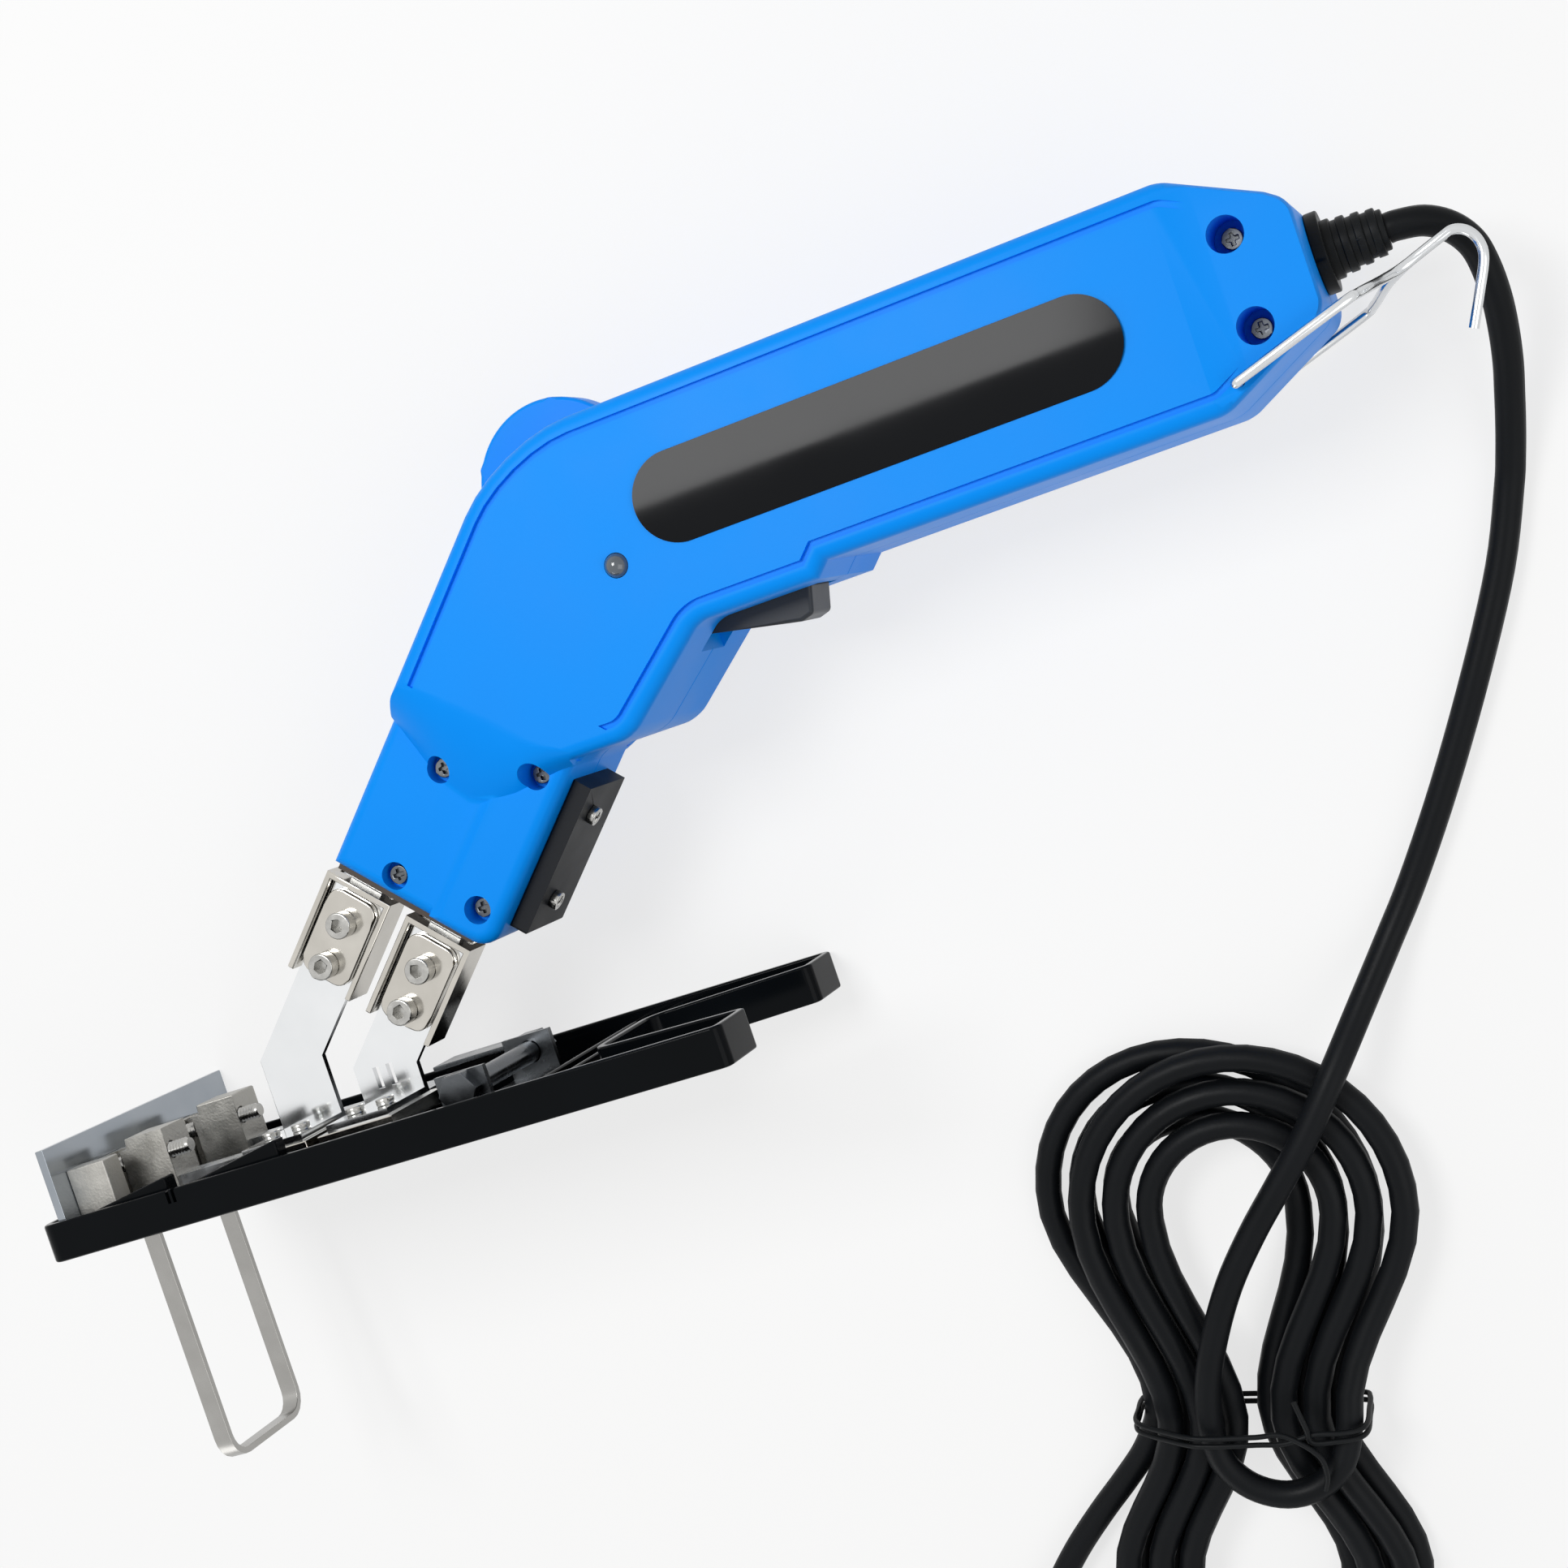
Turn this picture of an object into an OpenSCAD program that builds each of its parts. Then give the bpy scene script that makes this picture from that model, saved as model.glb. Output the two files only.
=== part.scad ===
// Electric hot knife with a groove-cutting sled, laid on its side on a bench.
// Tool axes: X runs back from the sled's front, Y up from its sole, Z out of the near side.

/* [Handle] */
// Height of the handle from underside to top
handle_height = 46; // [42:0.5:54]
// Thickness of the handle across both halves
handle_thickness = 46; // [44:0.5:54]
// Length of the handle from the heel corner to the rear face
handle_length = 167; // [160:1:190]
// Height of the handle's underside above the sled's sole
handle_lift = 89; // [86:0.5:96]
// Wall of the moulded casing
casing_wall = 2.6; // [2:0.1:3.2]
// Radius of the heel above the nose
heel_radius = 40; // [30:1:46]
// Distance of the pressed line from the casing's edge
line_inset = 3.4; // [3.2:0.1:5]
// Depth by which the rear field is stepped down
rear_step = 1.2; // [0.4:0.1:1.4]

/* [Nose] */
// Front lower corner of the nose, back from the sled's front
nose_x = 82; // [76:0.5:90]
// Front lower corner of the nose, above the sole
nose_y = 64; // [60:0.5:68]
// Slope of the nose against the sole
nose_angle = 45; // [43:0.5:47]
// Width of the nose
nose_width = 42; // [41:0.5:48]
// Thickness of the nose across both halves
nose_thickness = 32; // [30:0.5:38]
// Length of the bumper bar on the nose
rail_length = 36; // [28:1:40]
// Thickness of the bumper bar
rail_thick = 4.5; // [3:0.5:7]
// Width of the bumper bar
rail_width = 20; // [18:1:24]

/* [Casing screws] */
// Radius of the screw heads
screw_head_r = 2.1; // [2:0.1:2.9]
// Radius of the screw shanks
screw_r = 1.3; // [1:0.1:1.5]
// Radius of the counterbores
counterbore_r = 3.1; // [3:0.1:3.5]
// Height of the nose screws' seats above the parting plane
seat_height = 12; // [8:0.5:12.5]

/* [Controls] */
// Length of the rating label
label_length = 105; // [80:1:112]
// Height of the rating label
label_height = 19; // [14:0.5:24]
// Radius of the power dial
dial_r = 18.5; // [17:0.5:20]
// Thickness of the power dial
dial_width = 8; // [6:0.5:8.5]
// Radius of the potentiometer's shaft
shaft_r = 3; // [2:0.1:3.2]
// Radius of the indicator lamp
lamp_r = 2.6; // [2:0.1:3.2]
// Width of the trigger
trigger_width = 14; // [10:0.5:16]
// Reach of the trigger's tip below the casing's rim
trigger_drop = 6.4; // [4:0.2:7]
// Travel of the trigger in degrees
trigger_travel = 8; // [5:0.5:9]
// Radius of the trigger's hinge pin
pin_r = 1.5; // [1:0.1:1.8]

/* [Blade holder] */
// Spacing of the two blade clamps
clamp_pitch = 21; // [20:0.5:23]
// Width of a clamp channel
clamp_width = 16.8; // [16:0.2:18]
// Length of a clamp channel
clamp_length = 25; // [23:0.5:28]
// Sheet of the clamp channels
clamp_sheet = 1.4; // [1:0.1:1.6]
// Depth of the clamp channels
clamp_depth = 8.4; // [7:0.2:10]
// Width of the busbars
bar_width = 8; // [6:0.5:8.5]
// Thickness of the busbars
bar_thick = 3; // [2:0.2:4]
// Width of the blade arms at the clamps
arm_width = 13; // [11:0.2:13.4]
// Width of the blade arms above the sled
arm_foot_width = 15.6; // [13:0.2:17]
// Thickness of the blade arms
arm_thick = 1.6; // [1:0.1:2]

/* [Sled] */
// Length of the sled
sled_length = 168; // [160:1:190]
// Width of the sled
sled_width = 80; // [76:1:92]
// Height of the sled
sled_height = 8.6; // [8:0.2:12]
// Wall of the sled
sled_wall = 2; // [1.6:0.1:3]
// Floor of the sled
sled_floor = 2.2; // [1.6:0.1:3]
// Offset of the sled's middle from the casing's parting plane
sled_offset = 5; // [3:0.5:7]
// Length of the notch between the rear prongs
notch_length = 37; // [28:1:44]
// Width of the notch at the rear
notch_width = 44; // [36:1:48]
// Width of the notch at its root
notch_root = 30; // [24:1:34]
// Height of the front plate above the sled
plate_height = 16; // [12:0.5:20]
// Thickness of the front plate
plate_thick = 2; // [1.4:0.1:2.4]

/* [Blade] */
// Depth of the blade below the sole
blade_depth = 58; // [30:1:64]
// Width of the groove that the blade cuts
blade_width = 31; // [24:0.5:36]
// Width of the blade's strip
strip_width = 4.2; // [3:0.1:5]
// Thickness of the blade's strip
strip_thick = 1.5; // [0.8:0.1:2]
// Rise that the blade can be raised by
blade_rise = 12; // [6:1:16]
// Radius of the blade's lower corners
blade_corner = 6; // [4:0.5:9]

/* [Hook and cord] */
// Radius of the hook's wire
wire_r = 1; // [0.8:0.05:1.1]
// Diameter of the mains cord
cord_d = 6; // [5.6:0.1:6.2]
// Radius of the gland's flange
gland_flange_r = 8.2; // [7.5:0.1:8.8]
// Length of the gland outside the casing
gland_length = 14; // [13:0.5:18]
// Radius of the plug's pins
plug_pin_r = 2; // [1.9:0.05:2.1]
// Length of the plug's pins
plug_pin_length = 19; // [17:0.5:20]
// Spacing of the plug's pins
plug_pin_pitch = 18.6; // [17.5:0.1:19]

/* [Hidden] */
$fn = 48;

// Clearances between pieces
fit = 0.05;
gap = 0.4;
cut = 1;
sunk = 0.5;
through = 9;

// Heights and ends of the casing
handle_top = handle_lift + handle_height;
handle_mid = handle_lift + handle_height / 2;
heel_x = nose_x + (handle_top - nose_y) / tan(nose_angle);
rear_x = heel_x + handle_length;
half_handle = handle_thickness / 2;
half_nose = nose_thickness / 2;
floor_z = half_handle - casing_wall;
knuckle_y = handle_lift - 21;
trigger_x = heel_x + 28.5;
trigger_y = handle_lift + 1;
rim_y = handle_lift - 3;
rim_end = trigger_x + 28.5;

// A point on the nose: along it from its end, and across it from its front edge
function nose(along, across) = [
    nose_x + along * cos(nose_angle) + across * sin(nose_angle),
    nose_y + along * sin(nose_angle) - across * cos(nose_angle)
];
function along_at(y, across) = (y - nose_y + across * cos(nose_angle)) / sin(nose_angle);

// A corner rounded by an arc that touches both of its edges
arc_steps = 5;
function unit(v) = v / norm(v);
function corner(a, p, b, r) =
    let (
        u = unit(a - p),
        v = unit(b - p),
        half = acos(u * v) / 2,
        middle = p + unit(u + v) * r / sin(half),
        from = p + u * r / tan(half) - middle,
        to = p + v * r / tan(half) - middle,
        turn = acos(unit(from) * unit(to)),
        side = sign(from.x * to.y - from.y * to.x)
    )
    [for (i = [0:arc_steps])
        let (t = side * turn * i / arc_steps)
        middle + [from.x * cos(t) - from.y * sin(t), from.x * sin(t) + from.y * cos(t)]];
function flat(p) = [p.x, p.y];
function rounded(points) = [
    for (i = [0:len(points) - 1])
        let (
            count = len(points),
            p = points[i],
            a = flat(points[(i + count - 1) % count]),
            b = flat(points[(i + 1) % count])
        )
        each (p.z > 0 ? corner(a, flat(p), b, p.z) : [flat(p)])
];
// An outline moved inwards, for points that run anticlockwise
function inset(points, by) = [
    for (i = [0:len(points) - 1])
        let (
            count = len(points),
            u = unit(points[i] - points[(i + count - 1) % count]),
            v = unit(points[(i + 1) % count] - points[i]),
            m = [-u.y, u.x],
            n = [-v.y, v.x]
        )
        points[i] + (m + n) * by / (1 + m * n)
];

// Outline of both halves, anticlockwise from the nose's front lower corner
nose_round = 5;
knuckle = nose(along_at(knuckle_y, nose_width), nose_width);
handle_corners = [
    [trigger_x - 20.5, knuckle_y, 9],
    [trigger_x + 1.5, rim_y, 6],
    [rim_end, rim_y, 0],
    [rim_end + 3, handle_lift, 0],
    [rear_x - 23, handle_lift, 8],
    [rear_x, handle_mid - 11, 5],
    [rear_x, handle_mid + 11, 5],
    [rear_x - 4, handle_top - 9, 5],
    [rear_x - 22, handle_top, 8],
    [heel_x, handle_top, heel_radius]
];
casing_outline = rounded(concat([
    [each nose(0, 0), 0],
    [each nose(0, nose_width), nose_round],
    [each knuckle, 6]
], handle_corners));
// The thick part slopes down to the nose, and its hollow stops behind the slope
ramp_foot = 27;
ramp_head = 46;
ramp_lip = 0.4;
handle_outline = rounded(concat([
    [each nose(ramp_foot + 9, 0), 0],
    [each nose(ramp_foot, 18), 10],
    [each nose(ramp_foot + 1, 28), 6],
    [each knuckle, 0]
], handle_corners));
hollow_outline = rounded(concat([
    [each nose(ramp_head + 10, 0), 0],
    [each nose(ramp_head + 3, 8), 8],
    [each nose(ramp_head + 3, 26), 8],
    [each knuckle, 0]
], handle_corners));
// A low field stands on the nose beside the bumper bar
field_edge = 29;
field_length = 30;
field_rise = 1;

// Where the casing screws stand
nose_screws = [nose(31, 15), nose(40.4, 35.8), nose(4.6, 15), nose(7.6, 35.8)];
rear_screws = [[rear_x - 13, handle_mid + 9], [rear_x - 13, handle_mid - 9]];
boss_r = 3.3;
rear_boss_r = boss_r + 0.8;
rear_bore_r = counterbore_r + 0.5;
rear_seat = seat_height - 3;
screw_depth = 8;

// Controls
dial_at = [heel_x + 4.1, handle_top - 10.4];
pot_r = 4.8;
lamp_at = [heel_x + 17.6, handle_lift + 13.5];
label_at = [rear_x - 89, handle_mid - 0.5];
trigger_at = [trigger_x, trigger_y];
trigger_top = trigger_y + 3;
plunger_arm = 12.5;
plunger_r = 2;
plunger_gap = 0.6;
switch_size = [18, 10, 16];
switch_z = -12;
switch_y = trigger_top + 6;
plunger_travel = plunger_arm * sin(trigger_travel);

// Busbars and clamps
clamp_t = [7, 7 + clamp_pitch];
bar_z = 5.5;
bar_y = [handle_mid + 4, handle_mid - 6];
arm_z = bar_z + bar_thick;
clamp_top = -2;
clamp_screw_at = [-12.5, -23];
clamp_screw_r = 2;
cap_head_r = 3;
cap_head = 3.4;
shield_thick = 1.4;
press_thick = 2;

// Transformer, terminal block and circuit board
core_x = heel_x + 76;
core_size = [34, 34, 26];
window = [6, 22];
winding_side = 5.6;
core_floor = -core_size.z / 2;
block_x = core_x - core_size.x / 2 - 1;
board_x = [rear_x - 70, rear_x - 24];
board_y = [handle_lift + 4.5, handle_top - 4.5];
board_z = -11;
board_thick = 1.6;

// Sled
sled_near = sled_offset + sled_width / 2;
sled_far = sled_offset - sled_width / 2;
arm_x = [53, 53 + 22];
foot_z = [arm_z - 4, sled_near - 14];
foot_thick = 3;
foot_y = sled_height - foot_thick;
block_at = [sled_offset + blade_width / 2, sled_offset - blade_width / 2];
blade_x = 10.5;
block_top = 20;
block_deep = 10;
block_back = 25;
block_front = 6.9;
clamp_bolt_y = 14.6;
plate_x = 4.5;
foot_margin = 1.6;
foot_end = arm_x[1] + arm_foot_width / 2 + foot_margin;
root_x = sled_length - notch_length;
bolt_share = 0.356;
bolt_x = foot_end + (root_x - foot_end) * bolt_share;
bolt_y = 9;
bolt_r = 2.5;
ear_z = [sled_offset + 21, sled_offset - 13];
ear_thick = 1.6;

// Hook and gland
hook_at = [rear_x - 19, handle_lift + 5.1];
hook_side = half_handle + gap + wire_r;
hook_plane = 7;
leg_route = [[0, 0], [21.5, 6.7], [25.5, 8], [30, 9.6], [34, 10.9]];
leg_spread = [1, 1, 0.8, 0.25, 0];
tip_route = [[42, 13.6], [44.6, 14.2], [47, 13], [48.4, 10.4], [48.2, 7], [45.4, 1], [42.6, -4.6]];
weld = 1.5;
gland_y = handle_mid + 1.5;
gland_neck_r = 5;
gland_end = rear_x + gland_length;
cord_r = cord_d / 2;

// The tool lies on the sled's far edge and the handle's far edge
tilt = atan((-sled_far - half_handle) / (handle_top - sled_height));
lift = -sled_far * cos(tilt) + sled_height * sin(tilt);
hook_reach = hook_at.x + max([for (p = tip_route) p.x]) + wire_r;
function turned(p) = [p.x, p.y * cos(tilt) + p.z * sin(tilt), p.z * cos(tilt) - p.y * sin(tilt)];
blade_side = (blade_width + strip_thick) / 2;
blade_low = [0, blade_corner - blade_depth, sled_offset - blade_side + blade_corner];
lowest_y = turned(blade_low).y - blade_corner;
highest_y = turned([0, dial_at.y + dial_r, dial_width / 2]).y;
origin = [hook_reach / 2, (lowest_y + highest_y) / 2, -lift];
function laid(p) = turned(p) - origin;
module lay() {
    translate(-origin)
        rotate([-tilt, 0, 0])
            children();
}

// Shapes that repeat
module prism(points, z0, z1) {
    translate([0, 0, z0])
        linear_extrude(z1 - z0)
            polygon(points);
}
module peg(at, r, z0, z1) {
    translate([at.x, at.y, z0])
        cylinder(r = r, h = z1 - z0);
}
module block(low, high) {
    translate(low)
        cube(high - low);
}
// Stands on the nose: x along it, y across it, z out of the near side
module on_nose() {
    translate([nose_x, nose_y, 0])
        rotate([0, 0, nose_angle])
            mirror([0, 1, 0])
                children();
}
// Lifts an outline drawn in x and z to a plate between two heights
module plan(y0, y1) {
    translate([0, y1, 0])
        rotate([90, 0, 0])
            linear_extrude(y1 - y0)
                children();
}
module along_x(at_y, at_z, x0, x1, r) {
    translate([x0, at_y, at_z])
        rotate([0, 90, 0])
            cylinder(r = r, h = x1 - x0);
}
module along_y(at_x, at_z, y0, y1, r) {
    translate([at_x, y1, at_z])
        rotate([90, 0, 0])
            cylinder(r = r, h = y1 - y0);
}
// A tube through a list of points, with a ring square to the route at each
function route_way(points, i) =
    unit(points[min(i + 1, len(points) - 1)] - points[max(i - 1, 0)]);
function tube_ring(at, way, r, sides) =
    let (
        side = unit(cross(way, abs(way.z) > 0.9 ? [1, 0, 0] : [0, 0, 1])),
        up = cross(side, way)
    )
    [for (k = [0:sides - 1]) at + r * (side * cos(360 * k / sides) + up * sin(360 * k / sides))];
module tube(points, r, sides, first, last) {
    count = len(points);
    ways = [for (i = [0:count - 1])
        i == 0 && !is_undef(first) ? first
        : i == count - 1 && !is_undef(last) ? last
        : route_way(points, i)];
    skin = [for (i = [0:count - 1]) each tube_ring(points[i], ways[i], r, sides)];
    end = (count - 1) * sides;
    polyhedron(skin, concat(
        [[for (k = [sides - 1:-1:0]) k]],
        [[for (k = [0:sides - 1]) end + k]],
        [for (i = [0:count - 2]) for (k = [0:sides - 1])
            let (a = i * sides + k, b = i * sides + (k + 1) % sides)
            each [[a, b, a + sides], [b, b + sides, a + sides]]]
    ));
}

// Casing
blue = "#0a86f5";
module ramp_cut() {
    rise = half_handle - half_nose - ramp_lip;
    run = ramp_head - ramp_foot;
    low = half_nose + ramp_lip;
    high = half_handle + cut;
    on_nose()
        translate([0, 2 * nose_width, 0])
            rotate([90, 0, 0])
                linear_extrude(3 * nose_width)
                    polygon([[0, low], [ramp_foot, low], [ramp_head + run * cut / rise, high], [0, high]]);
}
module nose_field() {
    intersection() {
        prism(casing_outline, half_nose - sunk, half_nose + field_rise);
        on_nose()
            block([-cut, field_edge, 0], [field_length, nose_width + cut, half_handle]);
    }
}
module half_shell() {
    difference() {
        union() {
            prism(casing_outline, 0, half_nose);
            nose_field();
            difference() {
                prism(handle_outline, 0, half_handle);
                ramp_cut();
            }
        }
        prism(inset(casing_outline, casing_wall), -cut, half_nose - casing_wall);
        prism(inset(hollow_outline, casing_wall), -cut, floor_z);
    }
}
module pressed_line() {
    line = 0.8;
    deep = 0.6;
    beside = 40;
    translate([0, 0, half_handle - deep])
        linear_extrude(deep + cut)
            difference() {
                polygon(inset(handle_outline, line_inset));
                polygon(inset(handle_outline, line_inset + line));
                polygon([
                    nose(0, -beside), nose(ramp_head, -beside), nose(ramp_head, nose_width / 2),
                    nose(ramp_head + 12, nose_width / 2), nose(ramp_head + 12, nose_width + beside),
                    nose(0, nose_width + beside)
                ]);
            }
}
module casing_openings() {
    side = trigger_width / 2 + gap;
    slot = dial_width / 2 + 2 * gap;
    block([trigger_x - 5, knuckle_y, -side], [trigger_x + 24, trigger_top + 2, side]);
    peg(dial_at, dial_r + 2 * gap, -slot, slot);
    along_x(gland_y, 0, rear_x - 6, rear_x + cut, gland_neck_r + fit);
    peg(hook_at, wire_r + fit, half_handle - 6, half_handle + cut);
    for (t = clamp_t)
        on_nose()
            block([-cut, t - bar_width / 2 - fit, bar_z - fit],
                [casing_wall + cut, t + bar_width / 2 + fit, bar_z + bar_thick + fit]);
}
module rear_field() {
    block([rear_x - 20, handle_lift - 9, half_handle - rear_step],
        [rear_x + cut, handle_top + cut, half_handle + cut]);
}
module screw_bosses(top, rear_top) {
    for (at = nose_screws)
        peg(at, boss_r, 0, top + sunk);
    for (at = rear_screws)
        peg(at, rear_boss_r, 0, rear_top + sunk);
}
module screw_hole(at, seat, bore_r) {
    peg(at, screw_r + fit, -cut, seat + cut);
    peg(at, bore_r, seat, half_handle + cut);
}
module hinge_boss() {
    peg(trigger_at, pin_r + 2, trigger_width / 2 + gap, floor_z + sunk);
}
module casing_near() {
    color(blue) lay() {
        difference() {
            union() {
                half_shell();
                screw_bosses(half_nose - casing_wall, floor_z);
                hinge_boss();
            }
            pressed_line();
            casing_openings();
            rear_field();
            for (at = nose_screws)
                screw_hole(at, seat_height, counterbore_r);
            for (at = rear_screws)
                screw_hole(at, rear_seat, rear_bore_r);
            peg(trigger_at, pin_r + fit, 0, trigger_width / 2 + 4);
            peg(lamp_at, lamp_r + fit, floor_z - cut, half_handle + cut);
            label_outline(half_handle - 0.5, half_handle + cut, fit);
            for (s = rail_screw_at)
                on_nose()
                    translate([s, nose_width - casing_wall - cut, rail_screw_z])
                        rotate([-90, 0, 0])
                            cylinder(r = screw_r + fit, h = casing_wall + 2 * cut);
        }
    }
}
module casing_far() {
    color(blue) lay() {
        difference() {
            mirror([0, 0, 1])
                difference() {
                    union() {
                        half_shell();
                        screw_bosses(half_nose - casing_wall, floor_z);
                        hinge_boss();
                        inner_posts();
                    }
                    pressed_line();
                    rear_field();
                    for (at = concat(nose_screws, rear_screws))
                        peg(at, screw_r + fit, -cut, screw_depth + cut);
                    peg(trigger_at, pin_r + fit, 0, trigger_width / 2 + 4);
                }
            mirror([0, 0, 1])
                peg(hook_at, wire_r + fit, half_handle - 6, half_handle + cut);
            casing_openings();
        }
    }
}
// Posts that carry the inner pieces, written as depth below the parting plane
module inner_posts() {
    post = 2.4;
    margin = 4;
    top = floor_z + sunk;
    for (x = [board_x[0] + margin, board_x[1] - margin], y = [board_y[0] + margin, board_y[1] - margin])
        peg([x, y], post, -board_z, top);
    for (x = [-1, 1], y = [-1, 1])
        peg([core_x + x * (core_size.x / 2 - post), handle_mid + y * (core_size.y / 2 - post)],
            post, -core_floor, top);
    block([trigger_x + 4, switch_y + 1, -switch_z],
        [trigger_x + 18, switch_y + switch_size.y - 1, top]);
    block([clip_x[0], gland_y - clip_half, cord_r], [clip_x[1], gland_y + clip_half, top]);
}
module head_and_shank(at, seat) {
    head = 2.2;
    recess = [screw_head_r * 1.2, 0.7, 1.8];
    difference() {
        union() {
            peg(at, screw_head_r, seat, seat + head);
            peg(at, screw_r, -screw_depth, seat + fit);
        }
        for (turn = [0, 90])
            translate([at.x, at.y, seat + head])
                rotate([0, 0, turn])
                    cube(recess, center = true);
    }
}
module casing_screws() {
    color("silver") lay() {
        for (at = nose_screws)
            head_and_shank(at, seat_height);
        for (at = rear_screws)
            head_and_shank(at, rear_seat);
    }
}
module label_outline(z0, z1, by) {
    r = label_height / 2 + by;
    half = (label_length - label_height) / 2;
    for (side = [-1, 1])
        peg([label_at.x + side * half, label_at.y], r, z0, z1);
    block([label_at.x - half, label_at.y - r, z0], [label_at.x + half, label_at.y + r, z1]);
}
module label_plate() {
    color("#0d1114") lay()
        label_outline(half_handle - 0.5, half_handle + 0.2, 0);
}
module indicator_lamp() {
    color("#5c6368") lay() {
        peg(lamp_at, lamp_r + 0.9, floor_z - 2, floor_z);
        peg(lamp_at, lamp_r, floor_z - 8, half_handle - 0.6);
        translate([lamp_at.x, lamp_at.y, half_handle - 0.6])
            intersection() {
                sphere(r = lamp_r);
                block([-lamp_r, -lamp_r, -fit], [lamp_r, lamp_r, lamp_r]);
            }
    }
}

// Power dial
module dial_wheel() {
    color(blue) lay()
        difference() {
            peg(dial_at, dial_r, -dial_width / 2, dial_width / 2);
            peg(dial_at, shaft_r + fit, -dial_width, dial_width);
        }
}
pot_top = -dial_width / 2 - 2;
module dial_shaft() {
    color("silver") lay()
        peg(dial_at, shaft_r, pot_top - 8, dial_width / 2);
}
module potentiometer() {
    color("#3a3d40") lay()
        difference() {
            union() {
                peg(dial_at, pot_r, -floor_z, pot_top);
                peg(dial_at, shaft_r + 1.2, pot_top - fit, pot_top + 1.4);
            }
            peg(dial_at, shaft_r + fit, pot_top - 8 - gap, 0);
        }
}

// Trigger and switch
module trigger() {
    tip = rim_y - trigger_drop;
    color("#15171a") lay()
        difference() {
            prism(rounded([
                [trigger_x - 4, rim_y - 2, 1],
                [trigger_x + 18, tip, 1.5],
                [trigger_x + 20.8, tip + 0.8, 1.2],
                [trigger_x + 22.3, rim_y, 1],
                [trigger_x + 22.3, trigger_top, 1],
                [trigger_x - 2, trigger_top, 2],
                [trigger_x - 4, trigger_y, 1]
            ]), -trigger_width / 2, trigger_width / 2);
            peg(trigger_at, pin_r + fit, -trigger_width, trigger_width);
        }
}
module trigger_pin() {
    end = trigger_width / 2 + 4 - gap;
    color("silver") lay()
        peg(trigger_at, pin_r, -end, end);
}
module switch_body() {
    color("#222528") lay()
        difference() {
            translate([trigger_x + plunger_arm - switch_size.x / 2, switch_y, switch_z])
                cube(switch_size);
            along_y(trigger_x + plunger_arm, switch_z + switch_size.z / 2,
                switch_y - cut, switch_y + 3 + plunger_travel + gap, plunger_r + fit);
        }
}
module switch_plunger() {
    color("#b3402a") lay()
        along_y(trigger_x + plunger_arm, switch_z + switch_size.z / 2,
            trigger_top + plunger_gap, switch_y + 3, plunger_r);
}

// Circuit board, transformer and leads
module circuit_board() {
    color("#2f6b3c") lay()
        block([board_x[0], board_y[0], board_z], [board_x[1], board_y[1], board_z + board_thick]);
}
module board_parts() {
    z = board_z + board_thick;
    x = board_x[0];
    y = board_y[0];
    color("#c9a23a") lay() {
        block([x + 4, y + 3, z], [x + 22, y + 12, z + 14]);
        block([x + 4, y + 16, z], [x + 16, y + 18, z + 18]);
        block([x + 6, y + 18, z], [x + 14, y + 22, z + 15]);
        peg([x + 32, y + 9], 6, z, z + 12);
        for (i = [0:2])
            block([x + 20 + i * 6, y + 20, z], [x + 22.4 + i * 6, y + 28, z + 2.4]);
    }
}
module transformer_core() {
    leg = (core_size.x - 2 * window.x) / 4;
    color("#55585c") lay()
        translate([core_x, handle_mid, 0])
            difference() {
                cube(core_size, center = true);
                for (side = [-1, 1])
                    translate([side * (leg + window.x / 2), 0, 0])
                        cube([window.x, window.y, 2 * core_size.z], center = true);
            }
}
module transformer_winding() {
    leg = (core_size.x - 2 * window.x) / 2;
    inner = [leg + gap, 2 * window.y, core_size.z + gap];
    color("#b4612f") lay()
        translate([core_x, handle_mid, 0])
            difference() {
                cube([inner.x + 2 * winding_side - gap, window.y - 2 * gap, inner.z + 2 * winding_side],
                    center = true);
                cube(inner, center = true);
            }
}
module terminal_block() {
    color("#e8e2cf") lay()
        block([block_x - 8, bar_y[1] - 5, -floor_z], [block_x, bar_y[0] + 5, bar_z]);
}
module secondary_leads() {
    wide = 6;
    top = core_size.z / 2 + 3.6;
    coil = core_x - (core_size.x - 2 * window.x) / 4 - winding_side;
    color("#b4612f") lay()
        for (y = bar_y) {
            block([block_x - 5, y - wide / 2, bar_z + bar_thick], [block_x - 2, y + wide / 2, top]);
            block([block_x - 5, y - wide / 2, top - 3], [coil, y + wide / 2, top]);
        }
}
// A bar runs up the nose from its wide lug, turns at a mitre and ends on the terminal block
module busbar(i) {
    t = clamp_t[i];
    y = bar_y[i];
    half = bar_width / 2;
    lug_half = clamp_width / 2 - clamp_sheet - gap;
    lug_end = clamp_top - clamp_length;
    lug_top = clamp_top - shield_thick - gap;
    bar_end = block_x - 1;
    bend = nose(along_at(y, t), t);
    mitre = half / cos(nose_angle / 2) * [-sin(nose_angle / 2), cos(nose_angle / 2)];
    color("#b8733a") lay()
        difference() {
            prism([
                nose(lug_end, t - lug_half),
                nose(lug_end, t + lug_half),
                nose(lug_top, t + lug_half),
                nose(lug_top, t + half),
                bend - mitre,
                [bar_end, y - half],
                [bar_end, y + half],
                bend + mitre,
                nose(lug_top, t - half),
                nose(lug_top, t - lug_half)
            ], bar_z, arm_z);
            for (s = clamp_screw_at)
                peg(nose(s, t), clamp_screw_r + fit, 0, arm_z + cut);
        }
}
module busbar_front() {
    busbar(0);
}
module busbar_rear() {
    busbar(1);
}

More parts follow.
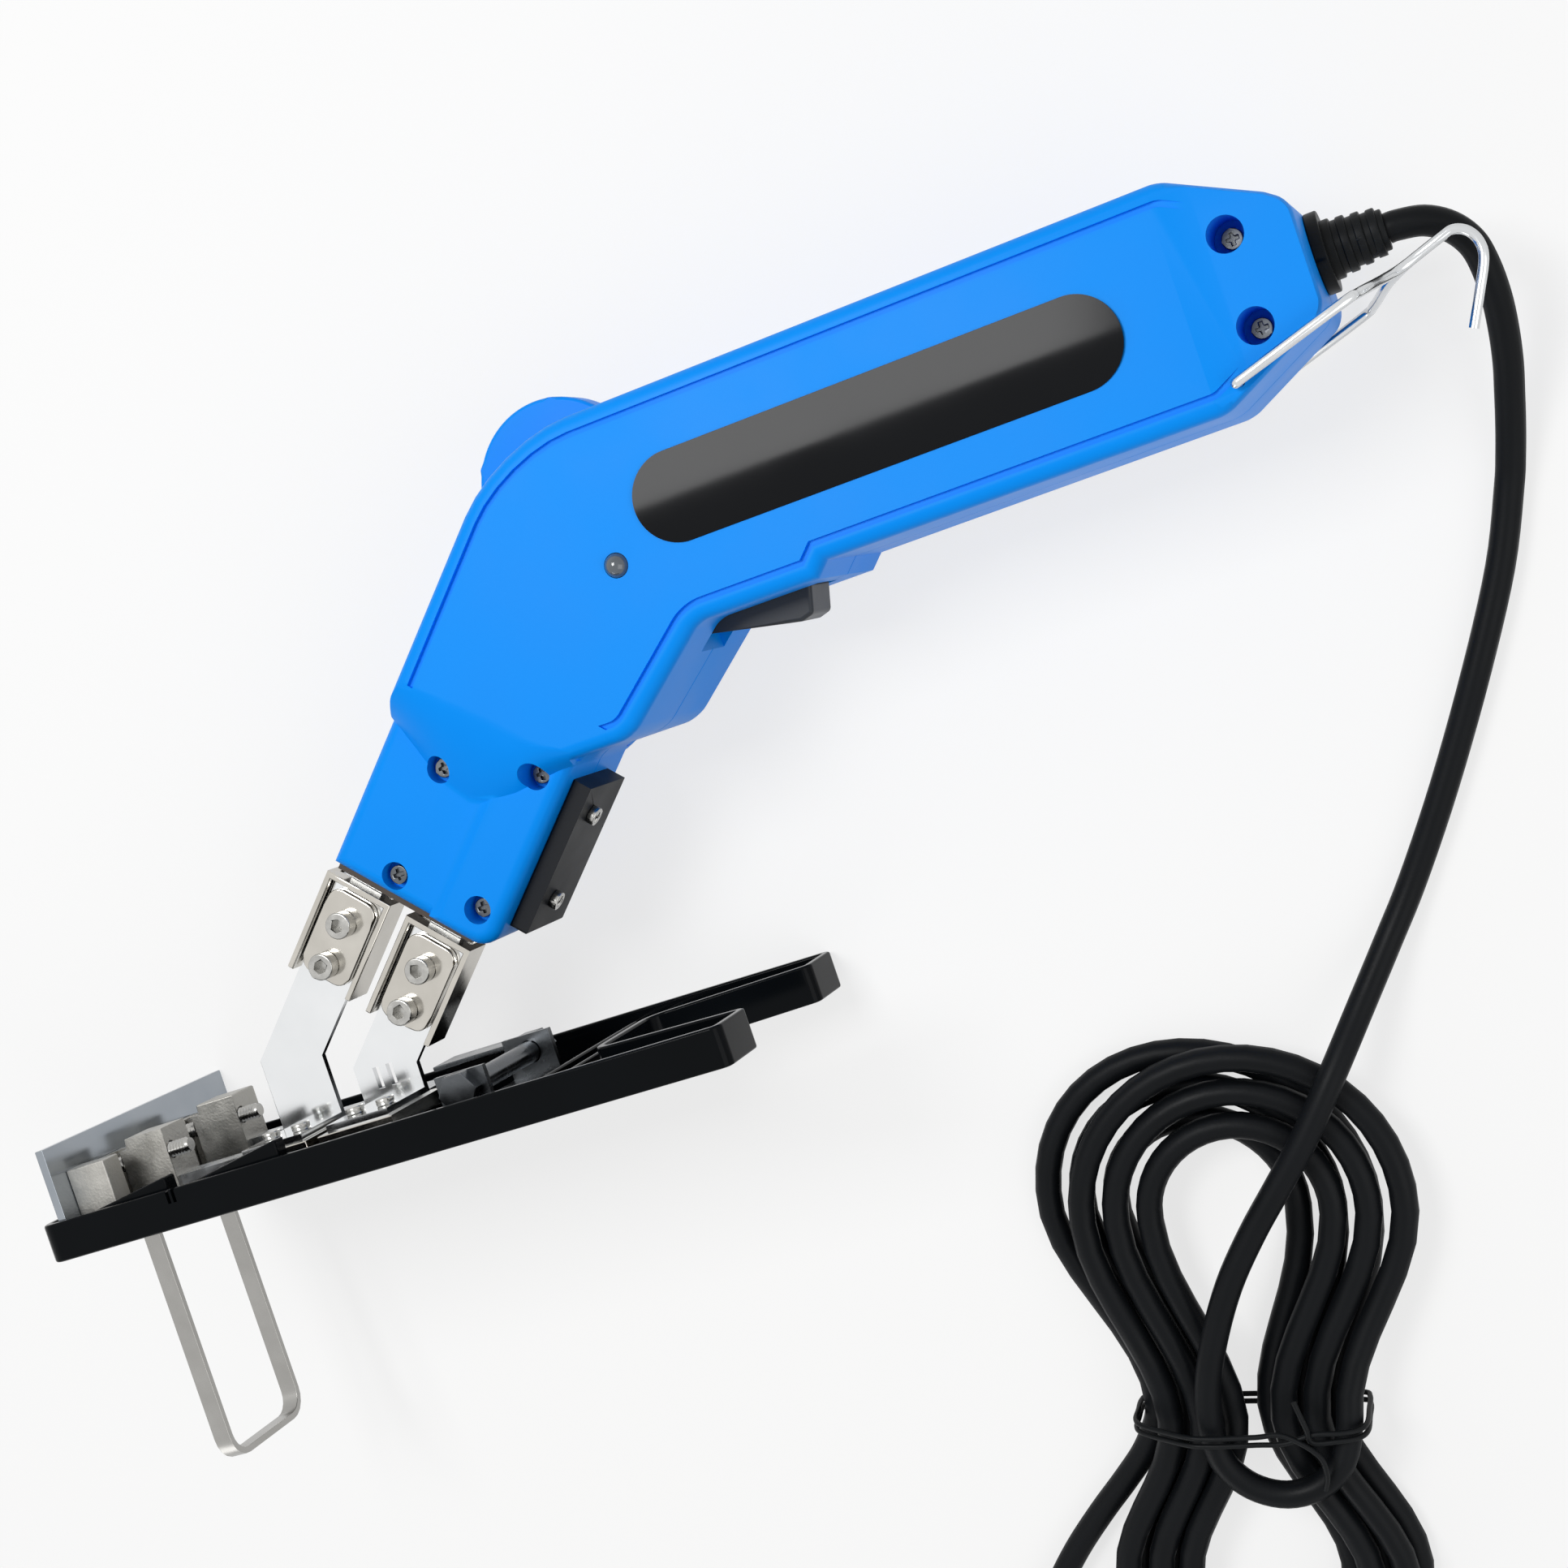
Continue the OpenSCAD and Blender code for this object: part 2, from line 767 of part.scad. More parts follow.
// Blade clamps and arms
module heat_shield() {
    color("#8c6a3c") lay()
        on_nose()
            difference() {
                block([-shield_thick, 1, -6], [0, clamp_t[1] + 8, half_nose - 3]);
                for (t = clamp_t)
                    block([-shield_thick - cut, t - bar_width / 2 - fit, bar_z - fit],
                        [cut, t + bar_width / 2 + fit, arm_z + fit]);
            }
}
module clamp_channel(i) {
    t = clamp_t[i];
    half = clamp_width / 2;
    back = bar_z - clamp_sheet;
    out = back + clamp_depth;
    top = clamp_top - shield_thick;
    end = clamp_top - clamp_length - 1;
    color("#d8dbdd") lay()
        difference() {
            on_nose() {
                block([end, t - half, back], [top, t + half, bar_z]);
                for (edge = [t - half, t + half - clamp_sheet])
                    block([end, edge, back], [top, edge + clamp_sheet, out]);
                block([top - clamp_sheet, t - half, arm_z + gap], [top, t + half, out]);
            }
            for (s = clamp_screw_at)
                peg(nose(s, t), clamp_screw_r + fit, 0, bar_z + cut);
        }
}
module clamp_channel_front() {
    clamp_channel(0);
}
module clamp_channel_rear() {
    clamp_channel(1);
}
module clamp_plate(i) {
    t = clamp_t[i];
    half = clamp_width / 2 - clamp_sheet - 0.9;
    low = clamp_top - clamp_length + 0.5;
    high = clamp_top - shield_thick - clamp_sheet - 1;
    round = 3;
    color("#c9cdd0") lay()
        difference() {
            on_nose()
                prism(rounded([
                    [low, t - half, round],
                    [high, t - half, round],
                    [high, t + half, round],
                    [low, t + half, round]
                ]), arm_z + arm_thick, arm_z + arm_thick + press_thick);
            for (s = clamp_screw_at)
                peg(nose(s, t), clamp_screw_r + fit, 0, arm_z + through);
        }
}
module clamp_plate_front() {
    clamp_plate(0);
}
module clamp_plate_rear() {
    clamp_plate(1);
}
module clamp_screws() {
    seat = arm_z + arm_thick + press_thick;
    color("silver") lay()
        for (t = clamp_t, s = clamp_screw_at)
            difference() {
                union() {
                    peg(nose(s, t), cap_head_r, seat, seat + cap_head);
                    peg(nose(s, t), clamp_screw_r, bar_z - clamp_sheet - 1, seat + fit);
                }
                translate([nose(s, t).x, nose(s, t).y, seat + cap_head - 2])
                    cylinder(r = 1.6, h = 3, $fn = 6);
            }
}
module blade_arm(i, slots) {
    t = clamp_t[i];
    x = arm_x[i];
    half = arm_width / 2;
    foot = arm_foot_width / 2;
    axis = nose(0, t);
    high = clamp_top - shield_thick - clamp_sheet - gap;
    left = axis + [-half * sin(nose_angle), half * cos(nose_angle)];
    right = axis + [half * sin(nose_angle), -half * cos(nose_angle)];
    function bend(edge, at_x) = [at_x, edge.y + (at_x - edge.x) * tan(nose_angle)];
    color("#e3e5e6") lay()
        difference() {
            union() {
                prism([
                    nose(high, t - half),
                    bend(left, x - foot),
                    [x - foot, sled_height],
                    [x + foot, sled_height],
                    bend(right, x + foot),
                    nose(high, t + half)
                ], arm_z, arm_z + arm_thick);
                block([x - foot, sled_height, arm_z], [x + foot, sled_height + arm_thick, foot_z[1] - 2]);
            }
            for (s = clamp_screw_at)
                peg(nose(s, t), clamp_screw_r + fit, 0, arm_z + through);
            for (side = slots)
                block([x + side - 0.8, sled_height + 4, 0],
                    [x + side + 0.8, sled_height + 9, arm_z + through]);
            for (at = foot_screw_places(i))
                along_y(at.x, at.y, sled_height - cut, sled_height + arm_thick + cut, foot_screw_r + fit);
        }
}
function foot_screw_places(i) = [
    for (side = [-1, 1]) [arm_x[i] + side * arm_foot_width / 4, (arm_z + foot_z[1]) / 2 + 2]
];
module blade_arm_front() {
    blade_arm(0, []);
}
module blade_arm_rear() {
    blade_arm(1, [-2.4, 1]);
}

// Bumper bar on the nose
rail_start = 6;
rail_screw_at = [rail_start + 8, rail_start + rail_length - 7];
rail_screw_z = 5;
rail_far = -rail_width / 2 + 2;
module nose_rail() {
    color("#15171a") lay()
        difference() {
            on_nose()
                block([rail_start, nose_width, rail_far],
                    [rail_start + rail_length, nose_width + rail_thick, rail_far + rail_width]);
            for (s = rail_screw_at)
                on_nose()
                    translate([s, nose_width - cut, rail_screw_z])
                        rotate([-90, 0, 0])
                            cylinder(r = screw_r + fit, h = rail_thick + 2 * cut);
        }
}
module rail_screws() {
    head = 1.8;
    recess = [screw_head_r * 1.2, 0.7, 1.4];
    grip = rail_thick + casing_wall;
    color("silver") lay()
        on_nose()
            for (s = rail_screw_at)
                translate([s, nose_width + rail_thick, rail_screw_z])
                    rotate([-90, 0, 0])
                        difference() {
                            union() {
                                cylinder(r = screw_head_r, h = head);
                                translate([0, 0, -grip])
                                    cylinder(r = screw_r, h = grip + fit);
                            }
                            for (turn = [0, 90])
                                rotate([0, 0, turn])
                                    translate([0, 0, head])
                                        cube(recess, center = true);
                        }
}

// Sled
sled_outline = rounded([
    [0, sled_far, 4],
    [sled_length, sled_far, 2.5],
    [sled_length, sled_offset - notch_width / 2, 2.5],
    [root_x, sled_offset - notch_root / 2, 4],
    [root_x, sled_offset + notch_root / 2, 4],
    [sled_length, sled_offset + notch_width / 2, 2.5],
    [sled_length, sled_near, 2.5],
    [0, sled_near, 4]
]);
module sled_shape(by) {
    polygon(inset(sled_outline, by));
}
wedge_thick = 4;
wedge_z = sled_near - sled_wall - wedge_thick - 1;
module wedge(x0, x1, rise) {
    front = sled_height - 0.6;
    translate([0, 0, wedge_z])
        linear_extrude(wedge_thick)
            polygon([[x0, sled_floor], [x1, sled_floor], [x1, sled_height + rise], [x0, front]]);
}
rib_shares = [0.72, 0.87];
rear_ribs = [for (share = rib_shares) foot_end + (root_x - foot_end) * share];
side_ribs = [32, 92];
guide_x = [bolt_x - 28, bolt_x - 8];
guide_z = [-26, -14];
guide_y = sled_height + 1.6;
guide_thick = 1.2;
module sled_ribs() {
    rib = 1.4;
    low = sled_floor - fit;
    high = sled_height - 2;
    far = sled_far + sled_wall / 2;
    near = sled_near - sled_wall / 2;
    side_end = block_at[1] - block_deep / 2 - 3;
    guide_mid = (guide_z[0] + guide_z[1]) / 2;
    for (x = rear_ribs)
        block([x, low, far], [x + rib, high, near]);
    for (x = side_ribs)
        block([x, low, far], [x + rib, high, side_end]);
    block([guide_x[0], low, guide_mid - rib / 2], [guide_x[1], guide_y, guide_mid + rib / 2]);
    wedge(11, 33, 2.6);
    wedge(37, 62, 3.4);
}
module pillars() {
    deep = 4;
    for (x = arm_x, z = [foot_z[0], foot_z[1] - deep])
        block([x - arm_foot_width / 2, sled_floor - fit, z], [x + arm_foot_width / 2, foot_y, z + deep]);
}
edge_slots = [34.2, 35.6];
edge_slot = 0.8;
module sled_base() {
    color("#0d1114") lay()
        difference() {
            union() {
                difference() {
                    plan(0, sled_height)
                        sled_shape(0);
                    plan(sled_floor, sled_height + cut)
                        sled_shape(sled_wall);
                }
                sled_ribs();
                pillars();
            }
            for (z = block_at)
                block([blade_x - strip_width / 2 - gap, -cut, z - strip_thick / 2 - gap],
                    [blade_x + strip_width / 2 + gap, sled_floor + cut, z + strip_thick / 2 + gap]);
            for (x = edge_slots)
                block([x, sled_height - 3, sled_near - 8],
                    [x + edge_slot, sled_height + 5, sled_near + cut]);
        }
}
foot_screw_r = screw_r + 0.4;
module foot_plates() {
    half = arm_foot_width / 2 + foot_margin;
    color("#d8dbdd") lay()
        difference() {
            for (x = arm_x)
                block([x - half, foot_y, foot_z[0]], [x + half, sled_height, foot_z[1]]);
            for (i = [0, 1], at = foot_screw_places(i))
                along_y(at.x, at.y, foot_y - cut, sled_height + cut, foot_screw_r + fit);
        }
}
module foot_screws() {
    top = sled_height + arm_thick;
    head = 1.6;
    color("silver") lay()
        for (i = [0, 1], at = foot_screw_places(i)) {
            along_y(at.x, at.y, foot_y, top + fit, foot_screw_r);
            along_y(at.x, at.y, top, top + head, screw_head_r);
        }
}
// The near bar runs to the front arm's foot and the far one to the rear arm's
module sled_conductors() {
    half = 4;
    near = block_at[0];
    far = block_at[1];
    front_end = arm_x[0] - arm_foot_width / 2 - foot_margin;
    rear_end = arm_x[1] + half;
    color("#b8733a") lay() {
        block([block_back, foot_y, near - half], [front_end, sled_height, near + half]);
        block([block_back, foot_y, far - half], [rear_end, sled_height, far + half]);
        block([arm_x[1] - half, foot_y, far], [rear_end, sled_height, foot_z[0]]);
    }
}
module front_plate() {
    color("#d8dbdd") lay()
        block([plate_x, sled_floor, sled_far + sled_wall],
            [plate_x + plate_thick, sled_height + plate_height, sled_near - sled_wall]);
}
// The spacer stands between the near block and the wedge
spacer_size = [10, 9.6];
spacer_shares = [0.48, 0.96];
block_side = block_at[0] + block_deep / 2;
spacer_z = [for (share = spacer_shares) block_side + (wedge_z - block_side) * share];
module spacer_block() {
    back = plate_x + plate_thick;
    color("#8f8d88") lay()
        block([back, sled_floor, spacer_z[0]],
            [back + spacer_size.x, sled_height + spacer_size.y, spacer_z[1]]);
}
module blade_block(z) {
    deep = block_deep / 2;
    side = strip_width / 2 + 0.2;
    back = z - strip_thick / 2 - 0.2;
    shoulder = block_top - 2.4;
    raised = blade_x + side + 2;
    color("#8f8d88") lay()
        difference() {
            union() {
                block([block_front, sled_floor, z - deep], [block_back, shoulder, z + deep]);
                block([raised, shoulder - fit, z - deep], [block_back, block_top, z + deep]);
            }
            block([blade_x - side, 0, back], [blade_x + side, block_top + cut, z + deep + cut]);
            along_x(clamp_bolt_y, z + block_bolt_z, 0, block_back + cut, block_bolt_r + fit);
        }
}
block_bolt_r = 1.8;
block_bolt_z = strip_thick / 2 + 0.5 + block_bolt_r;
module blade_block_near() {
    blade_block(block_at[0]);
}
module blade_block_far() {
    blade_block(block_at[1]);
}
module block_screws() {
    color("#3a3d40") lay()
        for (z = block_at)
            along_x(clamp_bolt_y, z + block_bolt_z, block_front, block_back + 5, block_bolt_r);
}

// Blade, bent from one strip
module cutting_blade() {
    half = blade_width / 2 + strip_thick / 2;
    inner = half - strip_thick;
    top = block_top - 3;
    color("#c4c6c8") lay()
        translate([blade_x - strip_width / 2, 0, sled_offset])
            rotate([90, 0, 90])
                linear_extrude(strip_width)
                    difference() {
                        polygon(rounded([
                            [top, half, 0],
                            [-blade_depth, half, blade_corner],
                            [-blade_depth, -half, blade_corner],
                            [top, -half, 0]
                        ]));
                        polygon(rounded([
                            [top + cut, inner, 0],
                            [strip_thick - blade_depth, inner, blade_corner - strip_thick],
                            [strip_thick - blade_depth, -inner, blade_corner - strip_thick],
                            [top + cut, -inner, 0]
                        ]));
                    }
}

// Cross bolt in its bracket
module cross_bracket() {
    half = 6;
    high = bolt_y + 4;
    color("#d8dbdd") lay()
        difference() {
            union() {
                block([bolt_x - half, sled_floor, ear_z[1] - ear_thick],
                    [bolt_x + half, sled_floor + ear_thick, ear_z[0] + ear_thick]);
                block([bolt_x - half, sled_floor, ear_z[0]], [bolt_x + half, high, ear_z[0] + ear_thick]);
                block([bolt_x - half, sled_floor, ear_z[1] - ear_thick], [bolt_x + half, high, ear_z[1]]);
            }
            peg([bolt_x, bolt_y], bolt_r + fit, ear_z[1] - through, ear_z[0] + through);
        }
}
hex_r = 4.6;
nut_height = 4;
module cross_bolt() {
    head = ear_z[0] + ear_thick;
    end = ear_z[1] - ear_thick - nut_height - 2;
    color("silver") lay() {
        peg([bolt_x, bolt_y], bolt_r, end, head + fit);
        translate([bolt_x, bolt_y, head])
            cylinder(r = hex_r, h = 3.4, $fn = 6);
    }
}
module cross_nut() {
    color("silver") lay()
        translate([bolt_x, bolt_y, ear_z[1] - ear_thick - nut_height])
            difference() {
                cylinder(r = hex_r, h = nut_height, $fn = 6);
                translate([0, 0, -cut])
                    cylinder(r = bolt_r + fit, h = nut_height + 2 * cut);
            }
}
module guide_strip() {
    color("#d8dbdd") lay()
        block([guide_x[0], guide_y, guide_z[0]], [guide_x[1], guide_y + guide_thick, guide_z[1]]);
}

// Hanger hook: two legs pivot in the casing's sides and join behind it
function hook_leg(side, middle) = [
    for (i = [0:len(leg_route) - 1])
        [
            hook_at.x + leg_route[i].x,
            hook_at.y + leg_route[i].y,
            middle + (side * hook_side - middle) * leg_spread[i]
        ]
];
function hook_tip(p, z) = [hook_at.x + p.x, hook_at.y + p.y, z];
module hanger_hook() {
    sides = 8;
    stub = 4.2;
    low = hook_plane - weld * wire_r;
    color("#d8dbdd") lay() {
        tube(concat(hook_leg(1, hook_plane), [for (p = tip_route) hook_tip(p, hook_plane)]), wire_r, sides);
        tube(concat(hook_leg(-1, low), [hook_tip([37, 12.1], low)]), wire_r, sides);
        for (side = [-1, 1])
            translate([hook_at.x, hook_at.y, side > 0 ? hook_side - stub : -hook_side])
                cylinder(r = wire_r, h = stub);
    }
}

// Cord, from the clip inside the casing to the plug
black = "#16181b";
gland_inner = 6;
gland_inner_r = 7;
gland_flange = 2.6;
module cable_gland() {
    ribs = 4;
    rib = (gland_length - gland_flange) / ribs;
    waist = 0.7;
    slim = (6 - cord_r - 1.4) / ribs;
    function body_r(i) = 6 - i * slim;
    color(black) lay()
        translate([rear_x, gland_y, 0])
            rotate([0, 90, 0])
                rotate_extrude()
                    polygon(concat(
                        [[0, -gland_inner], [gland_inner_r, -gland_inner], [gland_inner_r, -casing_wall],
                            [gland_neck_r, -casing_wall], [gland_neck_r, 0],
                            [gland_flange_r, 0], [gland_flange_r, gland_flange]],
                        [for (i = [0:ribs - 1]) each [
                            [body_r(i), gland_flange + rib * i],
                            [body_r(i), gland_flange + rib * (i + 0.6)],
                            [body_r(i) - waist, gland_flange + rib * (i + 0.6)],
                            [body_r(i) - waist, gland_flange + rib * (i + 1)]
                        ]],
                        [[0, gland_length]]
                    ));
}
inner_end = rear_x - 24;
clip_x = [rear_x - 21, rear_x - 18];
clip_strap = 1.6;
clip_half = cord_r + fit + clip_strap;
module cord_inner() {
    color(black) lay()
        along_x(gland_y, 0, inner_end, rear_x - gland_inner, cord_r);
}
module cord_clip() {
    side = cord_r + fit;
    color("#d9d4c4") lay()
        difference() {
            block([clip_x[0], gland_y - clip_half, -cord_r], [clip_x[1], gland_y + clip_half, clip_half]);
            along_x(gland_y, 0, clip_x[0] - cut, clip_x[1] + cut, side);
            block([clip_x[0] - cut, gland_y - side, -cord_r - cut], [clip_x[1] + cut, gland_y + side, 0]);
        }
}
module mains_leads() {
    r = 1.1;
    apart = 1.4;
    down = board_x[1] - 2;
    color("#7a3b1d") lay()
        for (side = [-1, 1]) {
            along_x(gland_y + side * apart, 0, down, inner_end, r);
            peg([down, gland_y + side * apart], r + 0.2, board_z + board_thick, r + 0.2);
        }
}

// The lead turns down behind the gland, runs over the bench and climbs onto the hank
lead_exit = laid([gland_end, gland_y, 0]);
exit_way = [1, 0, 0];
lead_drop = [
    [0, 0, 0], [2, 0, 0], [7, -1, -0.3], [11.2, -3.8, -1.1], [14, -8, -2.4],
    [15, -13, -4.3], [15.1, -19.6, -7.3]
];
lead_route = [
    [173.2, 44.5, 14.4], [172, 38, 11.4], [170.4, 32, 8.8], [168.7, 26, 6.5], [166.8, 20, 4.7],
    [164.6, 14, 3.6], [158, -1, 3.2], [147, -20, 3.2], [133.5, -41, 3.2], [121, -58.5, 3.4],
    [112, -69.5, 5.4], [103, -80, 10], [93.5, -91, 15.4], [83.5, -102.5, 17.6], [74.5, -111.5, 18],
    [66, -120, 18], [57.4, -130, 18], [50, -141.5, 18], [45, -152, 18], [42.6, -161.9, 18],
    [42.9, -169.6, 18], [47, -176, 18], [53.8, -179.6, 18], [61.5, -179.2, 17.8], [67.9, -175.1, 17]
];

// The hank lies flat: loops spiral in on the upper layer and out again on the lower one
hank_at = [50.4, -163.6];
hank_angle = 77.5;
hank_turns = 5.5;
loop_r = 18;
loop_step = 7.6;
waist_half = 3.6;
waist_step = 7.2;
reach_up = 48;
reach_down = 40;
layer_z = [cord_r + 0.1, 3 * cord_r + 0.8];
layer_lean = [-5, 2];
tie_lift = 1.3;
lead_step = 4.2;
lead_step_turns = 0.08;
run_turns = 0.1;
loop_rings = 24;
function ease(t) = (1 - cos(180 * max(0, min(1, t)))) / 2;
function squared(t) = t * t;
function hank_index(turn) = turn < 2.5 ? 2.5 - turn : turn < 3 ? 0 : turn - 3;
function hank_low(turn) = ease((turn - 2.5) / 0.5);
function hank_local(turn) =
    let (
        k = hank_index(turn),
        half_turn = (turn - floor(turn)) * 2,
        upper = half_turn < 1,
        t = half_turn - floor(half_turn),
        run = run_turns * 2,
        reach = upper ? reach_up : reach_down,
        waist = waist_half + k * waist_step,
        wide = loop_r + k * loop_step,
        up = min(1, t / run, (1 - t) / run),
        angle = 180 * (t - run) / (1 - 2 * run),
        side = t < 0.5 ? 1 : -1,
        across = up < 1 ? side * (waist + (wide - waist) * ease(up)) : wide * cos(angle),
        along = up < 1 ? reach * up : reach + wide * sin(angle),
        lean = tan(layer_lean[1] + (layer_lean[0] - layer_lean[1]) * hank_low(turn)),
        shift = lean * along * ease(along / reach)
    )
    [upper ? across + shift : -across, upper ? along : -along, tie_lift * (1 - ease(up))];
function hank_place(q, p) = [
    hank_at.x + q * sin(hank_angle) + p * cos(hank_angle),
    hank_at.y - q * cos(hank_angle) + p * sin(hank_angle)
];
function hank_point(turn) =
    let (
        local = hank_local(turn),
        step = lead_step * squared(max(0, 1 - turn / lead_step_turns))
    )
    [each hank_place(local.x, local.y),
        layer_z[1] + (layer_z[0] - layer_z[1]) * hank_low(turn) + local.z + step];
function hank_route(rings) = [for (i = [0:round(hank_turns * rings)]) hank_point(i / rings)];
hank_points = hank_route(loop_rings);
hank_end = hank_points[len(hank_points) - 1];
hank_way = [cos(hank_angle), sin(hank_angle), 0];

// Least gap between strands, measured on points twice as close as the rings
fine_points = hank_route(2 * loop_rings);
next_strand = loop_rings / 2;
hank_gap = min([
    for (i = [0:len(fine_points) - 1]) for (j = [i + next_strand:1:len(fine_points) - 1])
        norm(fine_points[i] - fine_points[j])
]) - cord_d;
echo(hank_gap = hank_gap);

// The tail leaves the lower layer for the plug
tail_route = [
    [-22.6, -4, 4.3], [-26, -11, 3.8], [-31.5, -18.5, 3.2], [-38, -26.5, 3.2], [-45, -36, 3.4],
    [-51, -46, 4.4], [-55.2, -55, 6], [-57.4, -63, 7], [-58, -70, 7]
];
plug_at = [-58, -72];
plug_axis = 7;
plug_length = 36;
plug_width = 35;
plug_thick = 13.6;
module on_hank() {
    translate([hank_at.x, hank_at.y, 0])
        rotate([0, 0, hank_angle - 90])
            children();
}
module cord_lead() {
    drop = [for (p = lead_drop) lead_exit + p];
    color(black)
        tube(concat(drop, lead_route, [hank_points[0]]), cord_r, 10, exit_way, hank_way);
}
module cord_hank() {
    color(black)
        tube(hank_points, cord_r, 6, hank_way, -hank_way);
}
module cord_tail() {
    route = [for (p = tail_route) [each hank_place(p.x, p.y), p.z]];
    color(black)
        tube(concat([hank_end], route, [[each hank_place(plug_at.x, plug_at.y), plug_axis]]),
            cord_r, 8, -hank_way, -hank_way);
}
module hank_tie() {
    wide = 2.2;
    thick = 0.8;
    half = 26.1;
    outline = rounded([
        [-half, 0.1, 2], [half, 0.1, 2], [half, 18.2, 3], [22.6, 20.8, 2],
        [-5, 23, 3], [-12, 23, 3], [-half, 15, 3]
    ]);
    color("#101214")
        on_hank()
            translate([0, wide / 2, 0])
                rotate([90, 0, 0])
                    linear_extrude(wide)
                        difference() {
                            polygon(outline);
                            polygon(inset(outline, thick));
                        }
}
module plug_body() {
    half = plug_width / 2;
    color(black)
        on_hank()
            translate([plug_at.x, plug_at.y, plug_axis - plug_thick / 2])
                linear_extrude(plug_thick)
                    polygon(rounded([
                        [-half, -plug_length, 3], [half, -plug_length, 3], [half, -plug_length / 2, 8],
                        [7, -6, 6], [5, 0, 1], [-5, 0, 1], [-7, -6, 6], [-half, -plug_length / 2, 8]
                    ]));
}
module plug_pins() {
    color("silver")
        on_hank()
            for (side = [-1, 1])
                translate([plug_at.x + side * plug_pin_pitch / 2, plug_at.y - plug_length, plug_axis])
                    rotate([90, 0, 0])
                        cylinder(r = plug_pin_r, h = plug_pin_length);
}

casing_near();
casing_far();
casing_screws();
label_plate();
indicator_lamp();
dial_wheel();
dial_shaft();
potentiometer();
trigger();
trigger_pin();
switch_body();
switch_plunger();
circuit_board();
board_parts();
transformer_core();
transformer_winding();
terminal_block();
secondary_leads();
busbar_front();
busbar_rear();
heat_shield();
clamp_channel_front();
clamp_channel_rear();
clamp_plate_front();
clamp_plate_rear();
clamp_screws();
blade_arm_front();
blade_arm_rear();
nose_rail();
rail_screws();
sled_base();
foot_plates();
foot_screws();
sled_conductors();
front_plate();
spacer_block();
blade_block_near();
blade_block_far();
block_screws();
cutting_blade();
cross_bracket();
cross_bolt();
cross_nut();
guide_strip();
hanger_hook();
cable_gland();
cord_clip();
cord_inner();
mains_leads();
cord_lead();
cord_hank();
hank_tie();
cord_tail();
plug_body();
plug_pins();
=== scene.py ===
"""Looks of an electric hot knife that lies on its side on a bench, with a groove-cutting sled.

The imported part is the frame. The casing gets its rounded shell here, rigid pieces get the broken
edges of moulded and pressed work, and the cord and the hanger's wire follow the frame's routes.
Sizes are millimetres, in the tool's own axes where a class doesn't say otherwise: X runs back from
the sled's front, Y up from its sole and Z out of the near side.
"""

import logging
import math
from dataclasses import dataclass, field
from enum import Enum
from typing import Any

import bmesh
import bpy
from mathutils import Matrix, Quaternion, Vector


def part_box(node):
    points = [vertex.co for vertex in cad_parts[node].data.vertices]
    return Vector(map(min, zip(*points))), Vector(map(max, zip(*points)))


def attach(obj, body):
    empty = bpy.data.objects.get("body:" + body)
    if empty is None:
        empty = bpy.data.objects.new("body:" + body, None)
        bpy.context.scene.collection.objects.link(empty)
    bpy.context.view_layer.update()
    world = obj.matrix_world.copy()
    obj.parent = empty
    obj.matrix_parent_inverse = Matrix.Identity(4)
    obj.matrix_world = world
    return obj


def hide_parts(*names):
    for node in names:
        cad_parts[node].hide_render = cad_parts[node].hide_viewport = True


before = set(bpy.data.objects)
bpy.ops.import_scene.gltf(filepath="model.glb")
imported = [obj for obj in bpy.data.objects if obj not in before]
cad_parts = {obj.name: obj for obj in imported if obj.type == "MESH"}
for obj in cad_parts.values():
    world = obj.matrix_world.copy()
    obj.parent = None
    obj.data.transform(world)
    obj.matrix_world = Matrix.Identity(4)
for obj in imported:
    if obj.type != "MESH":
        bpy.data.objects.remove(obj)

MM = 0.001
TOOL = "tool"
CREASE = 35.0
TOUCHING = 0.001
LEVEL = 0.0001
COAT_ROUGHNESS = 0.06
CLOUD_LOW, CLOUD_HIGH = 0.3, 0.7
Place = tuple[float, float]
Span = tuple[float, float]
Corner = tuple[float, float, float]
Mesh = bmesh.types.BMesh
log = logging.getLogger("hot_knife")


def linear(code: str) -> tuple[float, float, float, float]:
    """Turns an sRGB hex value to a linear colour.

    Args:
        code: Colour written as #RRGGBB.

    Returns:
        Linear red, green, blue and an alpha of one.
    """
    parts = [int(code[i:i + 2], 16) / 255 for i in (1, 3, 5)]
    red, green, blue = (c / 12.92 if c <= 0.04045 else ((c + 0.055) / 1.055) ** 2.4 for c in parts)
    return red, green, blue, 1.0


def add_node(tree: bpy.types.NodeTree, kind: str, settings: dict[str, Any] | None = None,
             **inputs: Any) -> bpy.types.Node:
    """Adds a node with its settings, and links or sets its inputs.

    Args:
        tree: Node tree that takes the node.
        kind: Type of the node.
        settings: Values of the node's own properties.
        inputs: Sockets by name, with _ for a space: an output socket is linked, a value is set.

    Returns:
        The new node.
    """
    node = tree.nodes.new(kind)
    for name, value in (settings or {}).items():
        setattr(node, name, value)
    for name, value in inputs.items():
        socket = node.inputs[int(name[1:])] if name[1:].isdigit() else node.inputs[name.replace("_", " ")]
        if isinstance(value, bpy.types.NodeSocket):
            tree.links.new(value, socket)
        else:
            socket.default_value = value
    return node


class Lay(Enum):
    """Way that the marks of a surface run, as the stretch of its pattern along X, Y and Z."""

    EVEN = (1.0, 1.0, 1.0)
    ALONG_X = (0.04, 1.0, 1.0)
    ALONG_Y = (1.0, 0.04, 1.0)


